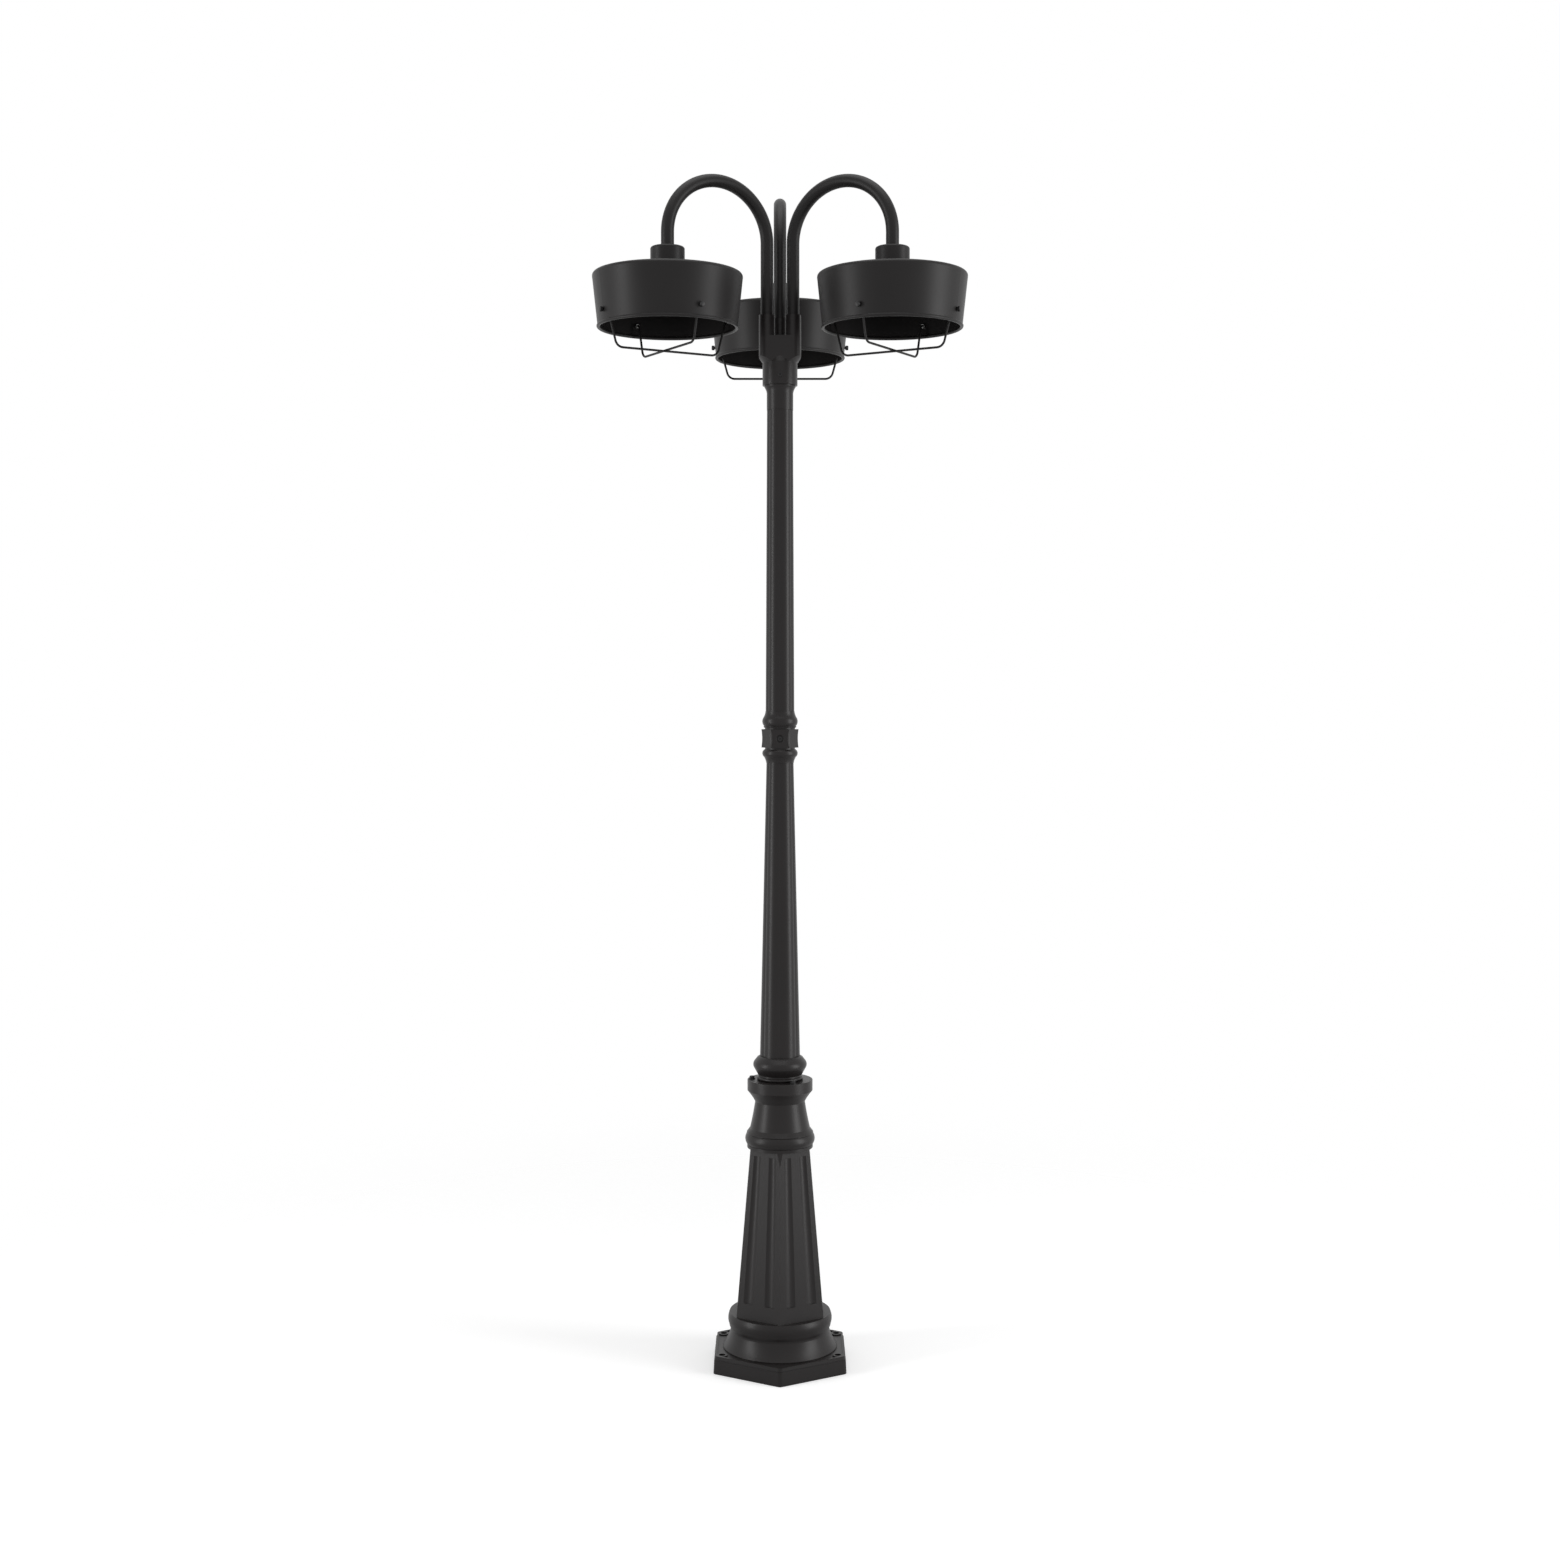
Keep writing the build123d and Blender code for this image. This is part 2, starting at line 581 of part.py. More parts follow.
with BuildPart() as coupling_collar:
    with BuildSketch(Plane.XY.offset(coupling_bottom)):
        RegularPolygon(coupling_corner_radius, 6)
        Circle(nipple_radius + slip, mode=Mode.SUBTRACT)
    extrude(amount=coupling_height)
    # the corners are hollowed between the two ends, which flares them a little
    with BuildSketch(Plane.XZ):
        with BuildLine():
            Line((0, coupling_bottom), (coupling_corner_radius, coupling_bottom))
            ThreePointArc((coupling_corner_radius, coupling_bottom),
                          (coupling_waist_radius, coupling_middle),
                          (coupling_corner_radius, coupling_top))
            Polyline((coupling_corner_radius, coupling_top), (0, coupling_top),
                     (0, coupling_bottom))
        make_face()
    revolve(axis=Axis.Z, mode=Mode.INTERSECT)
    for angle in set_screw_angles:
        with BuildSketch(radial(angle, coupling_middle, coupling_face)):
            Circle(coupling_sink_radius)
        extrude(amount=-coupling_sink_depth, mode=Mode.SUBTRACT)
        with BuildSketch(radial(angle, coupling_middle, coupling_face)):
            Circle(coupling_sink_radius + coupling_sink_bevel)
        extrude(amount=-coupling_sink_bevel, taper=bevel_angle, mode=Mode.SUBTRACT)
        with BuildSketch(radial(angle, coupling_middle, coupling_face)):
            Circle(coupling_screw_radius + slip)
        extrude(amount=nipple_radius - coupling_face, mode=Mode.SUBTRACT)
export(coupling_collar.part, "coupling_collar")


def grub_screws(level, start, end, screw_radius):
    """Three set screws with a hexagon socket, which run out from a start to an end radius."""
    with BuildPart() as screws:
        for angle in set_screw_angles:
            with BuildSketch(radial(angle, level, start)):
                Circle(screw_radius)
            extrude(amount=end - start)
            with BuildSketch(radial(angle, level, end)):
                RegularPolygon(hex_key_radius, 6)
            extrude(amount=-hex_key_depth, mode=Mode.SUBTRACT)
    return screws.part


export(grub_screws(coupling_middle, nipple_radius + slip, coupling_face - coupling_sink_depth + sheet,
                   coupling_screw_radius), "coupling_set_screws")

# ---- Upper shaft -------------------------------------------------------------------------------
with BuildPart() as upper_shaft:
    with BuildSketch(Plane.XY.offset(upper_lobe_start)):
        add(lobed(upper_lobe_bottom))
        make_face()
    with BuildSketch(Plane.XY.offset(upper_lobe_end)):
        add(lobed(upper_lobe_top))
        make_face()
    loft()
    with BuildSketch(Plane.XZ):
        with BuildLine():
            Polyline((0, coupling_top), (joint_neck_radius, coupling_top),
                     (joint_neck_radius, upper_bead_bottom))
            ThreePointArc((joint_neck_radius, upper_bead_bottom),
                          (upper_bead_radius, upper_bead_bottom + upper_bead_height / 2),
                          (upper_bead_groove, upper_roll_bottom))
            ThreePointArc((upper_bead_groove, upper_roll_bottom),
                          (upper_roll_radius, upper_roll_bottom + upper_roll_belly),
                          (upper_roll_edge, upper_flare_bottom))
            SagittaArc((upper_roll_edge, upper_flare_bottom),
                       (upper_lobe_bottom + lobe_step, upper_lobe_start), upper_flare_hollow)
            Polyline((upper_lobe_bottom + lobe_step, upper_lobe_start), (0, upper_lobe_start),
                     (0, coupling_top))
        make_face()
    revolve(axis=Axis.Z)
    with BuildSketch(Plane.XZ):
        with BuildLine():
            Polyline((0, upper_lobe_end), (upper_lobe_top + lobe_step, upper_lobe_end),
                     (upper_lobe_top + lobe_step, upper_cap_bottom))
            SagittaArc((upper_lobe_top + lobe_step, upper_cap_bottom),
                       (upper_cap_radius, hub_bottom - upper_cap_band),
                       upper_cap_hollow)
            Polyline((upper_cap_radius, hub_bottom - upper_cap_band), (upper_cap_radius, hub_bottom),
                     (tenon_radius, hub_bottom), (tenon_radius, hub_bottom + tenon_height),
                     (0, hub_bottom + tenon_height), (0, upper_lobe_end))
        make_face()
    revolve(axis=Axis.Z)
    with BuildSketch(Plane.XY.offset(coupling_top)):
        Circle(bore_radius)
    extrude(amount=hub_bottom + tenon_height - coupling_top, mode=Mode.SUBTRACT)
    with BuildSketch(Plane.XY.offset(coupling_top)):
        Circle(nipple_radius + slip)
    extrude(amount=nipple_reach, mode=Mode.SUBTRACT)
export(upper_shaft.part, "upper_shaft")

# ---- Hub: a barrel over the shaft's tenon, and three sockets with a web between them -----------
hub_socket_reach = arm_pitch_radius + arm_socket_radius

with BuildPart() as arm_hub:
    socket_places = on_circle(arm_pitch_radius, arm_angles.values())
    with BuildSketch(Plane.XY.offset(hub_bottom)):
        with Locations(*socket_places):
            Circle(arm_socket_radius)
        make_hull()
    extrude(amount=hub_web_top)
    with BuildSketch(Plane.XY.offset(hub_bottom)):
        with Locations(*socket_places):
            Circle(arm_socket_radius)
    extrude(amount=hub_height)
    with BuildSketch(Plane.XZ):
        with BuildLine():
            Polyline((0, hub_bottom), (hub_radius, hub_bottom), (hub_radius, hub_cone_bottom),
                     (hub_socket_reach, hub_cone_bottom + hub_cone_height),
                     (hub_socket_reach, hub_bottom + hub_height), (0, hub_bottom + hub_height),
                     close=True)
        make_face()
    revolve(axis=Axis.Z, mode=Mode.INTERSECT)
    with BuildSketch(Plane.XZ):
        web_face = arm_pitch_radius / 2 + arm_socket_radius - hub_web_inset
        with BuildLine():
            Polyline((0, hub_bottom), (hub_radius, hub_bottom), (hub_radius, hub_cone_bottom),
                     (web_face, hub_cone_bottom + hub_cone_height),
                     (0, hub_cone_bottom + hub_cone_height), close=True)
        make_face()
    revolve(axis=Axis.Z)
    with BuildSketch(Plane.XY.offset(hub_bottom)):
        Circle(tenon_radius + turning)
    extrude(amount=hub_cavity_height, mode=Mode.SUBTRACT)
    with BuildSketch(Plane.XY.offset(cavity_roof)):
        with Locations(*on_circle(lead_side_step, arm_angles.values())):
            Circle(lead_hole_radius)
    extrude(amount=arm_seat - cavity_roof, mode=Mode.SUBTRACT)
    with BuildSketch(Plane.XY.offset(arm_seat)):
        with Locations(*socket_places):
            Circle(arm_tube_radius + slip)
    extrude(amount=hub_bottom + hub_height - arm_seat, mode=Mode.SUBTRACT)
    for angle in set_screw_angles:
        with BuildSketch(radial(angle, hub_bottom + hub_screw_level, tenon_radius)):
            Circle(hub_screw_radius + slip)
        extrude(amount=hub_radius - tenon_radius + hub_screw_stand, mode=Mode.SUBTRACT)
export(arm_hub.part, "arm_hub")

export(grub_screws(hub_bottom + hub_screw_level, tenon_radius + turning,
                   hub_radius + hub_screw_stand, hub_screw_radius), "hub_set_screws")

with BuildPart() as terminal_block:
    with BuildSketch(Plane.XY.offset(cavity_roof)):
        Circle(block_radius)
    extrude(amount=-block_height)
export(terminal_block.part, "terminal_block")

with BuildPart() as post_lead:
    with BuildSketch(Plane.XY.offset(post_lead_end)):
        Circle(post_lead_radius)
    extrude(amount=cavity_roof - block_height - post_lead_end)
export(post_lead.part, "post_lead")

# ---- One arm with its lead, made along +X ------------------------------------------------------
lead_level = cavity_roof - block_height / 2
lead_end = holder_web_bottom + holder_web + contact_post_height

with BuildPart() as arm:
    with BuildLine(Plane.XZ) as arm_path:
        leg = Line((arm_pitch_radius, arm_seat), (arm_pitch_radius, arm_bend_level))
        bend = JernArc(leg @ 1, (0, 1), arm_bend_radius, -180)
        Line(bend @ 1, (head_reach, holder_top))
    with BuildSketch(Plane.XY.offset(arm_seat)):
        with Locations((arm_pitch_radius, 0)):
            Circle(arm_tube_radius)
            Circle(tube_bore_radius, mode=Mode.SUBTRACT)
    sweep(path=arm_path.line)

with BuildPart() as arm_lead:
    with BuildLine(Plane.XZ) as lead_path:
        rise = FilletPolyline((block_radius, lead_level), (lead_side_step, lead_level),
                              (lead_side_step, arm_seat + lead_rise),
                              (arm_pitch_radius, arm_seat + lead_rise + lead_sway),
                              (arm_pitch_radius, arm_bend_level),
                              radius=(lead_corner, lead_bend, lead_bend))
        bend = JernArc(rise @ 1, (0, 1), arm_bend_radius, -180)
        Line(bend @ 1, (head_reach, lead_end))
    with BuildSketch(Plane(origin=(block_radius, 0, lead_level), z_dir=(1, 0, 0))):
        Circle(lead_radius)
    sweep(path=lead_path.line)

# ---- One head, made round its own axis at the end of that arm ----------------------------------
head_plane = Plane(origin=(head_reach, 0, 0), x_dir=(1, 0, 0), z_dir=(0, -1, 0))
head_axis = Axis((head_reach, 0, 0), (0, 0, 1))


def across_head(turn, reach, level):
    """A plane that faces out from the head's axis at a turn, a reach and a level."""
    out = Vector(cos(radians(turn)), sin(radians(turn)), 0)
    return Plane(origin=Vector(head_reach, 0, level) + out * reach, x_dir=(0, 0, 1), z_dir=out)


def disc(radius, bottom, top, hole=0.0):
    """A plain round piece on the head's axis, with a hole through it if one is given."""
    with BuildPart() as piece:
        with BuildSketch(Plane(origin=(head_reach, 0, bottom))):
            Circle(radius)
            if hole:
                Circle(hole, mode=Mode.SUBTRACT)
        extrude(amount=top - bottom)
    return piece.part


with BuildPart() as socket_cup:
    with BuildSketch(head_plane):
        inside = cup_radius - cup_wall
        with BuildLine():
            FilletPolyline((arm_tube_radius + slip, cup_top), (cup_radius, cup_top),
                           (cup_radius, shade_top_level), radius=cup_edge)
            Polyline((cup_radius, shade_top_level), (inside, shade_top_level))
            FilletPolyline((inside, shade_top_level), (inside, holder_top),
                           (arm_tube_radius + slip, holder_top), radius=cup_edge - cup_wall)
            Line((arm_tube_radius + slip, holder_top), (arm_tube_radius + slip, cup_top))
        make_face()
    revolve(axis=head_axis)

shade_hole = holder_radius + loose
roll_middle = shade_rim_radius + rim_roll_stand - rim_roll_radius

with BuildPart() as shade:
    with BuildSketch(head_plane):
        plate_under = shade_top_level - sheet
        with BuildLine():
            FilletPolyline((shade_hole, shade_top_level), (shade_top_radius, shade_top_level),
                           (shade_rim_radius, rim_level), radius=shade_edge)
            Line((shade_rim_radius, rim_level), (shade_rim_radius - sheet, rim_level))
            FilletPolyline((shade_rim_radius - sheet, rim_level),
                           (shade_top_radius - sheet, plate_under), (shade_hole, plate_under),
                           radius=shade_edge - sheet)
            Line((shade_hole, plate_under), (shade_hole, shade_top_level))
        make_face()
        with Locations((roll_middle, rim_level)):
            Circle(rim_roll_radius)
    revolve(axis=head_axis)
    for turn in quarter_angles:
        with BuildSketch(across_head(turn, wall_inside - sheet, guard_hole_level)):
            Circle(guard_wire_radius + loose)
        extrude(amount=3 * sheet, mode=Mode.SUBTRACT)

with BuildPart() as lampholder:
    add(disc(holder_radius, holder_mouth, holder_top, stem_radius + slip))
    add(disc(holder_cavity_radius, holder_web_bottom + holder_web, holder_top - holder_roof),
        mode=Mode.SUBTRACT)
    add(disc(holder_radius, holder_web_bottom, holder_web_bottom + holder_web,
             contact_post_radius + slip))
    add(disc(shell_radius + slip, holder_mouth, holder_web_bottom), mode=Mode.SUBTRACT)

with BuildPart() as screw_shell:
    add(disc(shell_radius, shell_bottom, holder_web_bottom, shell_radius - shell_wall))
    add(disc(shell_radius, holder_web_bottom - shell_wall, holder_web_bottom, contact_radius + sheet))

with BuildPart() as contact:
    add(disc(contact_radius, contact_bottom, holder_web_bottom))
    add(disc(contact_post_radius, holder_web_bottom, lead_end))

shade_ring = disc(shade_ring_radius, shade_top_level - sheet - shade_ring_height,
                  shade_top_level - sheet, holder_radius + slip)
bushing = disc(tube_bore_radius - slip, holder_top, holder_top + bushing_length, stem_radius + slip)
stem = disc(stem_radius, holder_top - holder_roof - locknut_height - sheet,
            holder_top + stem_reach, stem_bore_radius)

with BuildPart() as locknut:
    with BuildSketch(Plane(origin=(head_reach, 0, holder_top - holder_roof))):
        RegularPolygon(locknut_across_corners / 2, 6)
        Circle(stem_radius + slip, mode=Mode.SUBTRACT)
    extrude(amount=-locknut_height)

with BuildPart() as bulb_cap:
    add(disc(bulb_cap_radius, bulb_cap_bottom, bulb_cap_top))
    add(disc(bulb_tip_radius, bulb_cap_top, bulb_tip_level))
    add(disc(bulb_neck_radius + slip, bulb_cap_bottom, bulb_cap_bottom + bulb_cap_seat),
        mode=Mode.SUBTRACT)


def bulb_outline(wall):
    """Half of the bulb's outline, drawn in by the thickness of the glass."""
    tip = bulb_cap_bottom - bulb_glass_length
    middle = tip + bulb_radius
    neck = bulb_neck_radius - wall
    top = bulb_cap_bottom + bulb_cap_seat - wall
    with BuildLine() as outline:
        Polyline((0, top), (neck, top), (neck, bulb_cap_bottom - sheet))
        Spline((neck, bulb_cap_bottom - sheet), (bulb_radius - wall, middle),
               tangents=((0, -1), (0, -1)))
        ThreePointArc((bulb_radius - wall, middle),
                      ((bulb_radius - wall) * sin(radians(45)),
                       middle - (bulb_radius - wall) * cos(radians(45))), (0, tip + wall))
        Line((0, tip + wall), (0, top))
    return outline.line


with BuildPart() as bulb_glass:
    with BuildSketch(head_plane):
        add(bulb_outline(0))
        make_face()
    revolve(axis=head_axis)
    with BuildSketch(head_plane):
        add(bulb_outline(bulb_glass_wall))
        make_face()
    revolve(axis=head_axis, mode=Mode.SUBTRACT)

# ---- Wire guard: two bent wires, welded where they cross, with screwed ends --------------------
guard_foot = rim_level - guard_drop
wire_tip = knob_start + knob_length - knob_roof - loose

with BuildPart() as guard:
    for turn, foot in ((0, guard_foot), (90, guard_foot + 2 * guard_wire_radius - guard_weld)):
        out = Vector(cos(radians(turn)), sin(radians(turn)), 0)
        wire_plane = Plane(origin=(head_reach, 0, 0), x_dir=out, z_dir=out.rotate(Axis.Z, -90))
        with BuildLine(wire_plane) as wire_path:
            FilletPolyline((-wire_tip, guard_hole_level), (-guard_top_reach, guard_hole_level),
                           (-guard_foot_reach, foot), (guard_foot_reach, foot),
                           (guard_top_reach, guard_hole_level), (wire_tip, guard_hole_level),
                           radius=(guard_top_bend, guard_foot_bend, guard_foot_bend,
                                   guard_top_bend))
        with BuildSketch(across_head(turn, -wire_tip, guard_hole_level)):
            Circle(guard_wire_radius)
        sweep(path=wire_path.line)

with BuildPart() as head_nuts:
    for turn in quarter_angles:
        with BuildSketch(across_head(turn, wall_inside - guard_nut_gap, guard_hole_level)):
            RegularPolygon(guard_nut_across_corners / 2, 6)
            Circle(guard_wire_radius + slip, mode=Mode.SUBTRACT)
        extrude(amount=-guard_nut_height)


def guard_knob(turn):
    """A round nut with a blind hole, outside the shade's wall on the end of a guard wire."""
    with BuildPart() as knob:
        with BuildSketch(across_head(turn, knob_start, guard_hole_level)):
            Circle(knob_radius)
        extrude(amount=knob_length)
        with BuildSketch(across_head(turn, knob_start, guard_hole_level)):
            Circle(guard_wire_radius + turning)
        extrude(amount=knob_length - knob_roof, mode=Mode.SUBTRACT)
    return knob.part


# ---- The arms and heads, each turned to its place round the post -------------------------------
turned_pieces = {
    "arm": arm.part, "arm_lead": arm_lead.part, "socket_cup": socket_cup.part,
    "shade": shade.part, "lampholder": lampholder.part, "screw_shell": screw_shell.part,
    "shade_ring": shade_ring, "guard": guard.part, "bulb_glass": bulb_glass.part,
    "bulb_cap": bulb_cap.part}
grouped_pieces = {
    "arm_bushings": bushing, "stem_nipples": stem, "stem_locknuts": locknut.part,
    "holder_contacts": contact.part, "guard_nuts": head_nuts.part}

for side, azimuth in arm_angles.items():
    for name, piece in turned_pieces.items():
        export(piece.rotate(Axis.Z, azimuth), f"{name}_{side}")
    for number, turn in enumerate(quarter_angles, start=1):
        export(guard_knob(turn).rotate(Axis.Z, azimuth), f"guard_knob_{side}_{number}")

for name, piece in grouped_pieces.items():
    with BuildPart() as group:
        for azimuth in arm_angles.values():
            add(piece.rotate(Axis.Z, azimuth))
    export(group.part, name)
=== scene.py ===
from math import atan2, cos, hypot, pi, radians, sin

import bpy
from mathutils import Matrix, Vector


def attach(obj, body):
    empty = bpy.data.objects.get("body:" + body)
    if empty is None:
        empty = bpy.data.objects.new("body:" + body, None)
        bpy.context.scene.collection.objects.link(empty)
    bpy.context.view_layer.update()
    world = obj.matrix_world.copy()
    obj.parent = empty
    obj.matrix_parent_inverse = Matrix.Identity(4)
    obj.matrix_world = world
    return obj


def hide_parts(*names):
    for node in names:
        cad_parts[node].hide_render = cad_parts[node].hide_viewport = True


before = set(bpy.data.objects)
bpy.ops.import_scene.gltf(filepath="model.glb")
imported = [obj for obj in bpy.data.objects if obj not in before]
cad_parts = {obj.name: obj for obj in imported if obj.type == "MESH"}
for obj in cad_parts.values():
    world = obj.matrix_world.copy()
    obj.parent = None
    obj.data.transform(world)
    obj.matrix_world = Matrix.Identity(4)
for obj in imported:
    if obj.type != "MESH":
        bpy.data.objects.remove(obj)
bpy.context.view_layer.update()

# ---- Base casting ------------------------------------------------------------------------------
# One casting in aluminium: hexagonal plate, round foot, fluted pedestal, bell and flange ring.
# It is blasted, powder coated in satin black and baked, which leaves a fine orange peel.


def add_sockets(tree, inputs, outputs):
    """The named inputs and outputs of a shader group."""
    for names, way in ((inputs, "INPUT"), (outputs, "OUTPUT")):
        for name in names:
            tree.interface.new_socket(name, in_out=way, socket_type="NodeSocketFloat")


def math_node(tree, operation, *values):
    """One sum on sockets or numbers. It returns the socket of the result."""
    node = tree.nodes.new("ShaderNodeMath")
    node.operation = operation
    for socket, value in zip(node.inputs, values):
        if isinstance(value, (int, float)):
            socket.default_value = value
        else:
            tree.links.new(value, socket)
    return node.outputs[0]


def surface_grain_group():
    """A fine grain for height and gloss, and slow clouds that change gloss and colour."""
    noise_mean, fine_change = 0.5, 0.06
    tree = bpy.data.node_groups.new("surface_grain", "ShaderNodeTree")
    add_sockets(tree, ("Peel Scale", "Cloud Scale", "Roughness", "Roughness Change"),
                ("Height", "Roughness", "Shade"))
    entry, leave = tree.nodes.new("NodeGroupInput"), tree.nodes.new("NodeGroupOutput")
    place = tree.nodes.new("ShaderNodeTexCoord")
    noises = []
    for scale, detail in (("Peel Scale", 2.0), ("Cloud Scale", 3.0)):
        noise = tree.nodes.new("ShaderNodeTexNoise")
        noise.inputs["Detail"].default_value = detail
        tree.links.new(place.outputs["Object"], noise.inputs["Vector"])
        tree.links.new(entry.outputs[scale], noise.inputs["Scale"])
        noises.append(noise.outputs["Fac"])
    peel, cloud = noises
    change = math_node(tree, "MULTIPLY", math_node(tree, "SUBTRACT", cloud, noise_mean),
                       entry.outputs["Roughness Change"])
    fine = math_node(tree, "MULTIPLY", math_node(tree, "SUBTRACT", peel, noise_mean), fine_change)
    gloss = math_node(tree, "ADD", math_node(tree, "ADD", entry.outputs["Roughness"], change), fine)
    tree.links.new(peel, leave.inputs["Height"])
    tree.links.new(gloss, leave.inputs["Roughness"])
    tree.links.new(cloud, leave.inputs["Shade"])
    return tree


surface_grain = surface_grain_group()


def finish(name, dark, light, roughness, depth, peel_scale=420.0, cloud_scale=9.0, change=0.08,
           **plain):
    """A finish whose colour and gloss drift between two near values, over a fine grain."""
    material = bpy.data.materials.new(name)
    material.use_nodes = True
    nodes, links = material.node_tree.nodes, material.node_tree.links
    shader = nodes["Principled BSDF"]
    grain = nodes.new("ShaderNodeGroup")
    grain.node_tree = surface_grain
    for socket, value in (("Peel Scale", peel_scale), ("Cloud Scale", cloud_scale),
                          ("Roughness", roughness), ("Roughness Change", change)):
        grain.inputs[socket].default_value = value
    shade = nodes.new("ShaderNodeMix")
    shade.data_type = "RGBA"
    colours = [socket for socket in shade.inputs if socket.type == "RGBA"]
    colours[0].default_value, colours[1].default_value = (*dark, 1), (*light, 1)
    links.new(grain.outputs["Shade"], shade.inputs[0])
    links.new(next(socket for socket in shade.outputs if socket.type == "RGBA"),
              shader.inputs["Base Color"])
    links.new(grain.outputs["Roughness"], shader.inputs["Roughness"])
    bump = nodes.new("ShaderNodeBump")
    bump.inputs["Strength"].default_value = 0.25
    bump.inputs["Distance"].default_value = depth
    links.new(grain.outputs["Height"], bump.inputs["Height"])
    links.new(bump.outputs["Normal"], shader.inputs["Normal"])
    for socket, value in plain.items():
        shader.inputs[socket.replace("_", " ")].default_value = value
    return material


def finish_nodes(material, *names):
    """Gives CAD nodes their finish."""
    for name in names:
        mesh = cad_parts[name].data
        mesh.materials.clear()
        mesh.materials.append(material)


cast_coat = finish("satin_black_coat_on_castings", dark=(0.0090, 0.0077, 0.0077),
                   light=(0.0130, 0.0112, 0.0112), roughness=0.37, depth=0.00030,
                   Specular_IOR_Level=0.23)
finish_nodes(cast_coat, "base_pedestal")

# ---- Earth screw -------------------------------------------------------------------------------
# A zinc plated pan head screw, in a tapped hole inside the plate's skirt.
# The earth wire from the ground goes under its head.
zinc = finish("zinc_plate", dark=(0.55, 0.56, 0.55), light=(0.66, 0.67, 0.64), roughness=0.36,
              depth=0.00008, peel_scale=900.0, cloud_scale=120.0, change=0.2, Metallic=1.0)
finish_nodes(zinc, "earth_screw")

# ---- Flange screws -----------------------------------------------------------------------------
# Three blackened steel hexagon screws with washers hold the lower shaft's flange in the ring.
# One stands at the left, one at the front right and one at the back right.
blackened = finish("blackened_steel", dark=(0.012, 0.012, 0.013), light=(0.030, 0.029, 0.029),
                   roughness=0.42, depth=0.00012, peel_scale=700.0, cloud_scale=160.0, change=0.2,
                   Metallic=0.6)


def shape_tree(name, **kinds):
    """An empty geometry tree with named inputs, its first node and its last node."""
    tree = bpy.data.node_groups.new(name, "GeometryNodeTree")
    tree.interface.new_socket("Geometry", in_out="INPUT", socket_type="NodeSocketGeometry")
    for label, kind in kinds.items():
        tree.interface.new_socket(label.replace("_", " "), in_out="INPUT",
                                  socket_type="NodeSocket" + kind)
    tree.interface.new_socket("Geometry", in_out="OUTPUT", socket_type="NodeSocketGeometry")
    return tree, tree.nodes.new("NodeGroupInput"), tree.nodes.new("NodeGroupOutput")


def add_node(tree, kind, links=None, **settings):
    """A node with its settings, and its inputs given as sockets or plain values."""
    node = tree.nodes.new(kind)
    for setting, value in settings.items():
        setattr(node, setting, value)
    for label, value in (links or {}).items():
        if isinstance(value, bpy.types.NodeSocket):
            tree.links.new(value, node.inputs[label])
        else:
            node.inputs[label].default_value = value
    return node


def close_tree(tree, entry, leave, *shapes):
    """Joins the shapes, makes instances real, merges seams and sets the material."""
    joined = add_node(tree, "GeometryNodeJoinGeometry")
    for shape in shapes:
        tree.links.new(shape, joined.inputs[0])
    real = add_node(tree, "GeometryNodeRealizeInstances", {"Geometry": joined.outputs[0]})
    merged = add_node(tree, "GeometryNodeMergeByDistance",
                      {"Geometry": real.outputs[0], "Distance": 0.000002})
    coloured = add_node(tree, "GeometryNodeSetMaterial",
                        {"Geometry": merged.outputs[0], "Material": entry.outputs["Material"]})
    tree.links.new(coloured.outputs[0], leave.inputs[0])


def grow(name, source, tree, values, body, slot, *replaced):
    """Evaluates a tree on a curve or an empty mesh, and keeps the result as a plain mesh."""
    maker = bpy.data.objects.new(name + "_maker", source)
    bpy.context.scene.collection.objects.link(maker)
    modifier = maker.modifiers.new("shape", "NODES")
    modifier.node_group = tree
    for item in tree.interface.items_tree:
        if item.in_out == "INPUT" and item.name in values:
            modifier[item.identifier] = values[item.name]
    depsgraph = bpy.context.evaluated_depsgraph_get()
    mesh = bpy.data.meshes.new_from_object(maker.evaluated_get(depsgraph))
    maker.modifiers.remove(modifier)
    bpy.data.objects.remove(maker)
    mesh.name = name
    mesh.shade_smooth()
    mesh.set_sharp_from_angle(angle=radians(32))
    piece = bpy.data.objects.new(name, mesh)
    bpy.context.scene.collection.objects.link(piece)
    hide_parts(*replaced)
    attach(piece, body)


